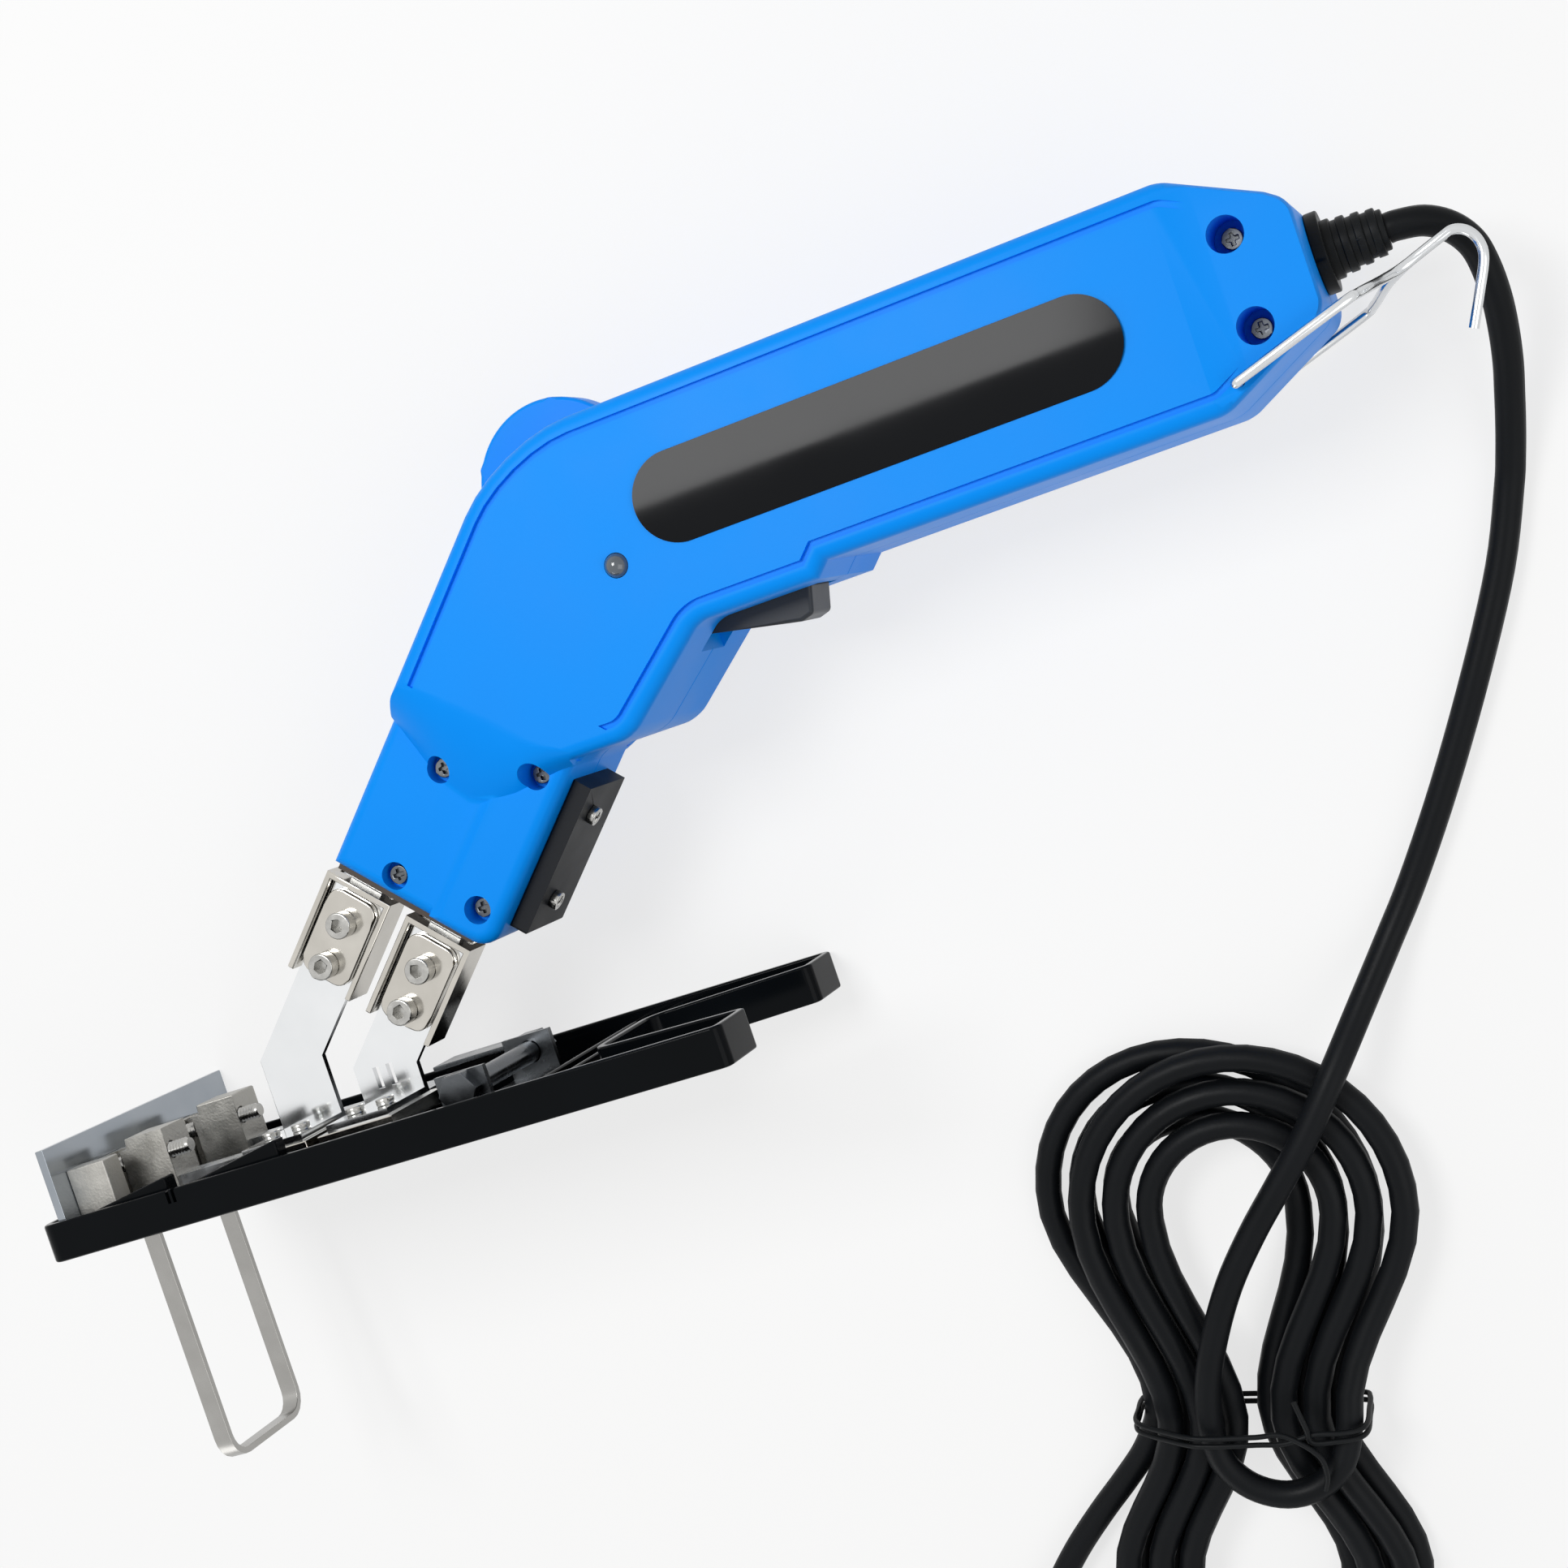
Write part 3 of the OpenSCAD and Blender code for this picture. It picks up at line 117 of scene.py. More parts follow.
@dataclass(frozen=True)
class Finish:
    """One material: what it is made of, how its surface was made and what that gives the eye.

    Attributes:
        name: Material and process, in plain words.
        slot: Name of a material slot; not used.
        colour: Main colour.
        shade: Colour of the darker patches.
        roughness: Middle roughness.
        spread: Half of the range of the roughness.
        metallic: One for bare metal.
        grain: Size of the surface's marks.
        depth: Height of the marks.
        patch: Size of the cloudy patches in colour and gloss.
        lay: Way that the marks run.
        coat: Share of a clear gloss over the colour.
        specular: Strength of the shine of a plastic or rubber.
    """

    name: str
    slot: str
    colour: str
    shade: str
    roughness: float
    spread: float = 0.05
    metallic: float = 0.0
    grain: float = 0.6
    depth: float = 0.01
    patch: float = 14.0
    lay: Lay = Lay.EVEN
    coat: float = 0.0
    specular: float = 0.5

    def material(self) -> bpy.types.Material:
        """Returns the finish's material, which is made on its first use."""
        made = bpy.data.materials.get(self.name)
        return made if made else self._make()

    def _make(self) -> bpy.types.Material:
        """Builds the nodes: cloudy patches in colour and gloss, and marks that catch the light.

        Returns:
            The new material.
        """
        material = bpy.data.materials.new(self.name)
        material.use_nodes = True
        tree = material.node_tree
        shader = tree.nodes["Principled BSDF"]
        for socket, value in (("Metallic", self.metallic), ("Specular IOR Level", self.specular),
                              ("Coat Weight", self.coat), ("Coat Roughness", COAT_ROUGHNESS)):
            shader.inputs[socket].default_value = value
        place = add_node(tree, "ShaderNodeTexCoord").outputs["Object"]
        cloud = add_node(tree, "ShaderNodeTexNoise", Vector=place, Scale=1 / (self.patch * MM), Detail=3.0)
        run = add_node(tree, "ShaderNodeMapping", Vector=place, Scale=self.lay.value)
        marks = add_node(tree, "ShaderNodeTexNoise", Vector=run.outputs["Vector"],
                         Scale=1 / (self.grain * MM), Detail=4.0)
        colour = add_node(tree, "ShaderNodeMix", {"data_type": "RGBA"}, _0=cloud.outputs["Fac"],
                          _6=linear(self.shade), _7=linear(self.colour))
        gloss = add_node(tree, "ShaderNodeMapRange", Value=cloud.outputs["Fac"], From_Min=CLOUD_LOW,
                         From_Max=CLOUD_HIGH, To_Min=self.roughness - self.spread,
                         To_Max=self.roughness + self.spread)
        bump = add_node(tree, "ShaderNodeBump", Height=marks.outputs["Fac"], Strength=1.0,
                        Distance=self.depth * MM)
        tree.links.new(colour.outputs["Result"], shader.inputs["Base Color"])
        tree.links.new(gloss.outputs["Result"], shader.inputs["Roughness"])
        tree.links.new(bump.outputs["Normal"], shader.inputs["Normal"])
        return material


# Moulded ABS: even blue with the fine grain of a spark-eroded mould, so its shine is soft and wide
BLUE_ABS = Finish("abs_moulded_blue", "blue_plastic", "#0096FF", "#008FF8", 0.42, grain=0.5, depth=0.012,
                  patch=30, specular=0.12)
# Polished phenolic moulding: almost black and glossy, with faint swirls left by the polishing
BLACK_PHENOLIC = Finish("phenolic_polished_black", "black_gloss", "#0A0D10", "#07090B", 0.13, spread=0.03,
                        grain=3.0, depth=0.004, patch=22, specular=0.06)
# Polyester film on the handle: flat and glossy, and the plastic under it shows as slow ripples
BLACK_FILM = Finish("polyester_film_black", "black_gloss", "#0C0E12", "#080A0D", 0.1, spread=0.02,
                    grain=9.0, depth=0.006, patch=30, specular=0.12)
# Glass-filled nylon moulding: dull black with a dry, slightly mottled skin
BLACK_NYLON = Finish("nylon_moulded_black", "black_plastic", "#1A1C20", "#131518", 0.48, grain=0.4,
                     depth=0.015, specular=0.15)
# Moulded black ABS: dark grey where the light falls on its fine grain
BLACK_ABS = Finish("abs_moulded_black", "black_plastic", "#31353B", "#272B30", 0.4, grain=0.5, depth=0.012,
                   specular=0.3)
# Nickel-plated pressed steel: bright, with slight waves from the press
NICKEL = Finish("steel_nickel_plated", "chrome", "#D2CEC6", "#BAB6AE", 0.14, spread=0.04,
                metallic=1, grain=4.0, depth=0.012, patch=8)
# Cold-rolled steel strip, polished: mirror-bright with hair lines along the rolling
BRIGHT_STRIP = Finish("steel_rolled_polished", "bright_steel", "#EDEEEF", "#E2E4E5", 0.12, spread=0.03,
                      metallic=1, grain=0.8, depth=0.003, patch=12, lay=Lay.ALONG_Y)
# Ground stainless strip: satin, with the grinding marks along its length
GROUND_STAINLESS = Finish("stainless_ground", "blade_steel", "#ABAAA7", "#979591", 0.27, spread=0.07,
                          metallic=1, grain=0.5, depth=0.006, patch=10, lay=Lay.ALONG_Y)
# Cast zinc, tumbled: dull grey with a pitted skin
TUMBLED_ZINC = Finish("zinc_cast_tumbled", "grey_metal", "#BCBAB4", "#9B9994", 0.42, spread=0.08,
                      metallic=0.85, grain=0.6, depth=0.06, patch=4)
# Zinc-plated steel screws: silver, a little cloudy
PLATED_SCREW = Finish("steel_zinc_plated", "steel", "#BDBCB8", "#9C9B98", 0.24, spread=0.06, metallic=1,
                      grain=0.5, depth=0.006, patch=2)
# Blackened spring steel: dark grey with a thin oily shine; on the casing's screws this dark grey is
# painted shade of their deep counterbores
BLACKENED_STEEL_AND_PAINTED_SHADE = Finish("steel_blackened_and_painted_shade", "steel", "#6A6D70", "#4E5154", 0.26, spread=0.06, metallic=1,
                         grain=0.6, depth=0.006, patch=5)
# Polished steel plate: a cool grey mirror, waved a little by the press
POLISHED_PLATE = Finish("steel_plate_polished", "chrome", "#A8ADB2", "#8C939B", 0.15, spread=0.04,
                        metallic=1, grain=4.0, depth=0.01, patch=16)
# Drawn steel wire, nickel plated: bright round wire with drawing lines
DRAWN_WIRE = Finish("steel_wire_plated", "bright_steel", "#DCDEDF", "#C8CACC", 0.16, spread=0.04,
                    metallic=1, grain=0.5, depth=0.004, patch=6, lay=Lay.ALONG_X)
# Rolled copper bar: pink-brown, dulled by handling
ROLLED_COPPER = Finish("copper_rolled", "copper", "#C07A45", "#9C5C30", 0.34, spread=0.08, metallic=1,
                       grain=0.6, depth=0.006, patch=7, lay=Lay.ALONG_X)
# Tinned copper bar: grey-silver and a little cloudy, where it lies in the clamps
TINNED_COPPER = Finish("copper_tinned", "copper", "#C4C6C8", "#A3A6A9", 0.3, spread=0.08, metallic=1,
                       grain=0.6, depth=0.006, patch=5)
# Extruded rubber sheath: soft black with a powdery, faintly wrinkled skin
RUBBER_SHEATH = Finish("rubber_extruded_black", "black_rubber", "#101215", "#0B0D0F", 0.46, spread=0.08,
                       grain=0.7, depth=0.03, patch=16, specular=0.1)
# Moulded PVC: black, smoother than the sheath
PVC = Finish("pvc_moulded_black", "black_rubber", "#121416", "#0D0F10", 0.42, grain=0.5, depth=0.02,
             specular=0.12)
# Smoked acrylic lens: clear gloss over a dark grey
SMOKED_LENS = Finish("acrylic_moulded_smoke", "lens", "#5C646B", "#434A50", 0.12, spread=0.03, grain=2.0,
                     depth=0.004, patch=2, coat=0.6)
# Red thermoset plunger, moulded
RED_MOULDING = Finish("thermoset_moulded_red", "red_plastic", "#B3402A", "#98331F", 0.4)
# Fibreglass board under green lacquer, with the weave just showing
BOARD_LACQUER = Finish("fibreglass_lacquered_green", "board", "#2F6B3C", "#24572F", 0.3, grain=0.5)
# Dipped and moulded components
DIPPED_PARTS = Finish("epoxy_dipped_ochre", "component", "#C9A23A", "#A9842B", 0.4)
# Stacked core sheets: grey steel with the sheets' edges as lines
STACKED_SHEETS = Finish("steel_sheet_stacked", "steel", "#6B6F73", "#4E5256", 0.42, metallic=1, grain=0.5,
                        depth=0.03, lay=Lay.ALONG_X)
# Cream thermoset terminal block and clip
CREAM_MOULDING = Finish("thermoset_moulded_cream", "cream_plastic", "#E8E2CF", "#D8D0B9", 0.45)
# Phenolic paper board: dark brown, with a fibrous face
PHENOLIC_PAPER = Finish("phenolic_paper_brown", "phenolic", "#3A2D22", "#2B2119", 0.5, grain=0.4,
                        depth=0.02)


@dataclass(frozen=True)
class ToolAxes:
    """The tool's own axes on the bench, where it lies on the far edges of its sled and handle."""

    sled_far: float = -35.0
    sled_height: float = 8.6
    handle_top: float = 135.0
    half_handle: float = 23.0

    def matrix(self) -> Matrix:
        """Works out the axes' place.

        Returns:
            The matrix from tool millimetres to the frame's metres.
        """
        tilt = math.atan((-self.sled_far - self.half_handle) / (self.handle_top - self.sled_height))
        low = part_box("sled_base")[0] / MM
        rise = -self.sled_far * math.cos(tilt) + self.sled_height * math.sin(tilt)
        shift = Vector((low.x, low.y - self.sled_far * math.sin(tilt), rise))
        return Matrix.Scale(MM, 4) @ Matrix.Translation(shift) @ Matrix.Rotation(-tilt, 4, "X")


def linked(name: str, data: bpy.types.ID, home: bpy.types.Collection | None = None) -> bpy.types.Object:
    """Makes an object and links it.

    Args:
        name: Its name.
        data: Its mesh, curve, lamp or camera.
        home: Collection that takes it, if not the scene's own.

    Returns:
        The new object.
    """
    thing = bpy.data.objects.new(name, data)
    if home is None:
        home = bpy.context.scene.collection
    home.objects.link(thing)
    return thing


def aimed(name: str, data: bpy.types.ID, eye: Corner, target: Corner, roll: float) -> bpy.types.Object:
    """Makes a camera or lamp that looks at a point.

    Args:
        name: Its name.
        data: Its camera or lamp.
        eye: Its place, in bench millimetres.
        target: Point that it looks at.
        roll: Turn about its aim, in degrees.

    Returns:
        The new object.
    """
    thing = linked(name, data)
    thing.location = Vector(eye) * MM
    look = (Vector(target) - Vector(eye)).to_track_quat("-Z", "Y")
    thing.rotation_mode = "QUATERNION"
    thing.rotation_quaternion = look @ Quaternion((0, 0, 1), math.radians(roll))
    return thing


def mesh_data(name: str, mesh: Mesh) -> bpy.types.Mesh:
    """Makes an object's data of a mesh.

    Args:
        name: Name of the data.
        mesh: The mesh, which is freed.

    Returns:
        The new data.
    """
    data = bpy.data.meshes.new(name)
    mesh.to_mesh(data)
    mesh.free()
    return data


def finished(name: str, mesh: Mesh, finish: Finish, body: str, *nodes: str,
             crease: float = CREASE) -> bpy.types.Object:
    """Makes a shown piece of a mesh in frame metres.

    Args:
        name: Name of the piece.
        mesh: Its mesh, which is freed.
        finish: Its material.
        body: Body that it rides on.
        nodes: Nodes that it stands for.
        crease: Angle past which an edge stays sharp, in degrees.

    Returns:
        The new object.
    """
    data = mesh_data(name, mesh)
    data.shade_smooth()
    data.set_sharp_from_angle(angle=math.radians(crease))
    data.materials.append(finish.material())
    piece = linked(name, data)
    shading = piece.modifiers.new("flat_faces_stay_flat", "WEIGHTED_NORMAL")
    shading.keep_sharp = True
    shading.weight = 100
    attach(piece, body)
    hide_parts(*nodes)
    log.info("%s: %d faces", name, len(data.polygons))
    return piece


def merge(mesh: Mesh, gap: float, angle: float, sliver: float = 0.0) -> None:
    """Merges the points of a mesh that lie together, and the faces that are flat to each other.

    Args:
        mesh: The mesh.
        gap: Greatest distance of points that become one.
        angle: Greatest angle between faces that become one, in degrees.
        sliver: Greatest length of edges that vanish.
    """
    bmesh.ops.remove_doubles(mesh, verts=mesh.verts, dist=gap)
    if sliver > 0:
        bmesh.ops.dissolve_degenerate(mesh, edges=mesh.edges, dist=sliver)
    bmesh.ops.dissolve_limit(mesh, angle_limit=math.radians(angle), verts=mesh.verts, edges=mesh.edges)


def bevel(mesh: Mesh, parts: list[Any], width: float, segments: int, affect: str = "EDGES") -> None:
    """Rounds edges or corners of a mesh.

    Args:
        mesh: The mesh.
        parts: Its edges, or its corner points.
        width: Width of the rounding on each side.
        segments: Faces across it.
        affect: EDGES or VERTICES.
    """
    bmesh.ops.bevel(mesh, geom=parts, offset=width, offset_type="OFFSET", segments=segments, profile=0.5,
                    affect=affect, material=-1, clamp_overlap=False)


def roomy(edge: bmesh.types.BMEdge, room: float, ahead: float = 140.0) -> bool:
    """Tells whether an edge can be broken without crowding the edges beside it.

    Args:
        edge: The edge.
        room: Least length of an edge that leaves one of its ends sideways.
        ahead: Angle in degrees from which another edge counts as running on.

    Returns:
        True if both ends are plain corners with enough room.
    """
    for vert in edge.verts:
        way = edge.other_vert(vert).co - vert.co
        if len(vert.link_edges) != 3:
            return False
        for other in vert.link_edges:
            turn = way.angle(other.other_vert(vert).co - vert.co, 0)
            if other is not edge and turn < math.radians(ahead) and other.calc_length() < room:
                return False
    return True


def eased(node: str, width: float, finish: Finish, body: str = TOOL,
          segments: int = 2) -> bpy.types.Object:
    """Stands a copy of a node with broken edges in its place.

    Args:
        node: The node that is copied.
        width: Width of the broken edges.
        finish: Material of the piece.
        body: Body that it rides on.
        segments: Faces across a broken edge.

    Returns:
        The new object.
    """
    mesh = bmesh.new()
    mesh.from_mesh(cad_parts[node].data)
    merge(mesh, gap=TOUCHING * MM, angle=0.5)
    sharp = [e for e in mesh.edges if e.is_manifold and e.is_convex
             and e.calc_face_angle() > math.radians(CREASE) and roomy(e, 2 * width * MM)]
    bevel(mesh, sharp, width * MM, segments)
    return finished(f"{node}_eased", mesh, finish, body, node)


def dressed(finish: Finish, *nodes: str) -> None:
    """Gives nodes that keep their shape a finish.

    Args:
        finish: Material of the nodes.
        nodes: Names of the nodes.
    """
    for name in nodes:
        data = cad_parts[name].data
        data.materials.clear()
        data.materials.append(finish.material())
        log.info("%s keeps its shape: %s", name, finish.name)


def outline_prism(corners: list[Corner], low: float, high: float, steps: int = 6) -> Mesh:
    """Raises a flat outline to a prism.

    Args:
        corners: X and Y of each corner, and the radius that rounds it.
        low: Z of the prism's foot.
        high: Z of its top.
        steps: Faces in each rounded corner.

    Returns:
        The prism's mesh.
    """
    mesh = bmesh.new()
    points = [Vector(corner[:2]) for corner in corners]
    verts = [mesh.verts.new((p.x, p.y, low)) for p in points]
    mesh.faces.new(verts)
    for i, (vert, corner) in enumerate(zip(verts, corners)):
        if corner[2] > 0:
            before = points[i - 1] - points[i]
            after = points[(i + 1) % len(points)] - points[i]
            reach = corner[2] / math.tan(before.angle(after) / 2)
            bevel(mesh, [vert], reach, steps, "VERTICES")
    raised = bmesh.ops.extrude_face_region(mesh, geom=list(mesh.faces))
    top = [v for v in raised["geom"] if isinstance(v, bmesh.types.BMVert)]
    bmesh.ops.translate(mesh, verts=top, vec=(0, 0, high - low))
    bmesh.ops.recalc_face_normals(mesh, faces=mesh.faces)
    return mesh


def rim_eased(mesh: Mesh, height: float, width: float, segments: int) -> None:
    """Rounds the edges of a prism that lie at one height.

    Args:
        mesh: The prism.
        height: Z of the edges.
        width: Width of the rounding.
        segments: Faces across it.
    """
    rim = [e for e in mesh.edges if all(abs(v.co.z - height) < LEVEL for v in e.verts)]
    bevel(mesh, rim, width, segments)


def round_bar(at: Place, radius: float, low: float, high: float, segments: int = 40) -> Mesh:
    """Makes a round bar along Z.

    Args:
        at: X and Y of its axis.
        radius: Its radius.
        low: Z of its foot.
        high: Z of its top.
        segments: Faces round it.

    Returns:
        The bar's mesh.
    """
    mesh = bmesh.new()
    bmesh.ops.create_cone(mesh, cap_ends=True, segments=segments, radius1=radius, radius2=radius,
                          depth=high - low, matrix=Matrix.Translation((*at, (low + high) / 2)))
    return mesh


def square_bar(low: Corner, high: Corner) -> Mesh:
    """Makes a box.

    Args:
        low: Its lowest corner.
        high: Its highest corner.

    Returns:
        The box's mesh.
    """
    mesh = bmesh.new()
    size = Vector(high) - Vector(low)
    middle = (Vector(high) + Vector(low)) / 2
    bmesh.ops.create_cube(mesh, size=1, matrix=Matrix.Translation(middle) @ Matrix.Diagonal((*size, 1)))
    return mesh


def bent(name: str, runs: list[list[Vector]], diameter: float, finish: Finish, body: str,
         *nodes: str) -> bpy.types.Object:
    """Makes round cord or wire along runs of points.

    Args:
        name: Name of the piece.
        runs: Points of each run, in metres.
        diameter: Diameter of the cord or wire.
        finish: Its material.
        body: Body that it rides on.
        nodes: Nodes that it stands for.

    Returns:
        The new object.
    """
    data = bpy.data.curves.new(name, "CURVE")
    data.dimensions = "3D"
    data.bevel_depth = diameter / 2 * MM
    data.bevel_resolution = 4
    data.use_fill_caps = True
    for run in runs:
        spline = data.splines.new("POLY")
        spline.points.add(len(run) - 1)
        for spot, point in zip(spline.points, run):
            spot.co = (*point, 1)
        spline.use_smooth = True
    data.materials.append(finish.material())
    piece = linked(name, data)
    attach(piece, body)
    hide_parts(*nodes)
    log.info("%s: %d runs", name, len(runs))
    return piece


class Work(Enum):
    """What a set of shapes does to a body."""

    JOIN = "UNION"
    CUT = "DIFFERENCE"
    KEEP = "INTERSECT"


def worked(body: Mesh, *steps: tuple[Work, list[Mesh]]) -> Mesh:
    """Joins and cuts shapes, in order.

    Args:
        body: The first shape, which is freed, as all shapes are.
        steps: Each a kind of work and its shapes.

    Returns:
        The finished shape.
    """
    blank = linked("shape", mesh_data("shape", body))
    used, homes = [blank], []
    for work, shapes in steps:
        home = bpy.data.collections.new("shapes")
        bpy.context.scene.collection.children.link(home)
        homes.append(home)
        used += [linked("shape", mesh_data("shape", shape), home) for shape in shapes]
        modifier = blank.modifiers.new("work", "BOOLEAN")
        modifier.operation = work.value
        modifier.operand_type = "COLLECTION"
        modifier.collection = home
        modifier.solver = "MANIFOLD"
    bpy.context.view_layer.update()
    result = bmesh.new()
    result.from_object(blank, bpy.context.evaluated_depsgraph_get())
    for thing in used:
        bpy.data.meshes.remove(thing.data)
    for home in homes:
        bpy.data.collections.remove(home)
    merge(result, gap=0.002, angle=0.3, sliver=0.004)
    return result


@dataclass
class PhotoCamera:
    """The camera of the photograph, in bench millimetres."""

    eye: Corner = (178.35, 65.69, 528.95)
    target: Corner = (2.89, 4.83, 20.0)
    roll: float = -128.591
    field_of_view: float = 34.8905
    clip: Span = (10.0, 20000.0)

    def place(self) -> None:
        """Makes the camera and hands it to the scene."""
        data = bpy.data.cameras.new("photo_camera")
        data.sensor_fit = "HORIZONTAL"
        data.angle = math.radians(self.field_of_view)
        data.clip_start, data.clip_end = (distance * MM for distance in self.clip)
        bpy.context.scene.camera = aimed("photo_camera", data, self.eye, self.target, self.roll)


@dataclass
class Softbox:
    """One square lamp, in bench millimetres."""

    name: str
    at: Corner
    aim: Corner
    size: float
    watts: float
    roll: float = 0.0

    def hang(self) -> None:
        """Hangs the lamp and points it."""
        data = bpy.data.lights.new(self.name, "AREA")
        data.shape = "SQUARE"
        data.size = self.size * MM
        data.energy = self.watts
        aimed(self.name, data, self.at, self.aim, self.roll)


@dataclass
class Studio:
    """White bench, soft lamps and an even white surround.

    The key lamp is turned, so that the edge of its shine runs along the label.
    """

    bench: float = 6000.0
    surround: float = 0.3
    bench_white: str = "#F4F4F3"
    bench_lift: float = 0.72
    lamps: list[Softbox] = field(default_factory=lambda: [
        Softbox("key_softbox", (-250, 470, 980), (0, 0, 20), 420, 6.8, -28),
        Softbox("fill_softbox", (700, -350, 800), (0, 0, 20), 800, 2.8),
        Softbox("low_strip", (-700, -700, 260), (-60, -40, 20), 400, 1.1),
    ])

    def light(self) -> None:
        """Lays the bench, hangs the lamps and sets the surround."""
        bpy.context.scene.view_settings.view_transform = "Standard"
        self._lay_bench()
        self._surround()
        for lamp in self.lamps:
            lamp.hang()

    def _seen(self, tree: bpy.types.NodeTree) -> bpy.types.NodeSocket:
        """Adds what tells the rays that see the surround: straight, in a shine or through glass.

        Args:
            tree: Node tree that takes the nodes.

        Returns:
            Socket with one for such rays.
        """
        path = add_node(tree, "ShaderNodeLightPath").outputs
        shine = add_node(tree, "ShaderNodeMath", {"operation": "MAXIMUM"}, _0=path["Is Camera Ray"],
                         _1=path["Is Glossy Ray"])
        return add_node(tree, "ShaderNodeMath", {"operation": "MAXIMUM"}, _0=shine.outputs[0],
                        _1=path["Is Transmission Ray"]).outputs[0]

    def _lay_bench(self) -> None:
        """Lays the bench: white to the eye, and still dark enough in the shadow to carry the object."""
        mesh = bmesh.new()
        bmesh.ops.create_grid(mesh, x_segments=1, y_segments=1, size=self.bench * MM / 2)
        data = mesh_data("bench", mesh)
        material = bpy.data.materials.new("melamine_bench_white")
        material.use_nodes = True
        tree = material.node_tree
        tree.nodes.clear()
        matt = add_node(tree, "ShaderNodeBsdfDiffuse", Color=linear(self.bench_white))
        white = add_node(tree, "ShaderNodeEmission", Color=(1, 1, 1, 1), Strength=1.0)
        share = add_node(tree, "ShaderNodeMath", {"operation": "MULTIPLY"}, _0=self._seen(tree),
                         _1=self.bench_lift)
        mixed = add_node(tree, "ShaderNodeMixShader", _0=share.outputs[0], _1=matt.outputs[0],
                         _2=white.outputs[0])
        add_node(tree, "ShaderNodeOutputMaterial", Surface=mixed.outputs[0])
        data.materials.append(material)
        bench = linked("bench", data)

    def _surround(self) -> None:
        """Sets the world: white to the eye, dimmer as a light."""
        world = bpy.data.worlds.new("studio")
        bpy.context.scene.world = world
        world.use_nodes = True
        tree = world.node_tree
        tree.nodes.clear()
        strength = add_node(tree, "ShaderNodeMapRange", Value=self._seen(tree), To_Min=self.surround,
                            To_Max=1.0)
        surround = add_node(tree, "ShaderNodeBackground", Color=(1, 1, 1, 1), Strength=strength.outputs[0])
        add_node(tree, "ShaderNodeOutputWorld", Surface=surround.outputs[0])


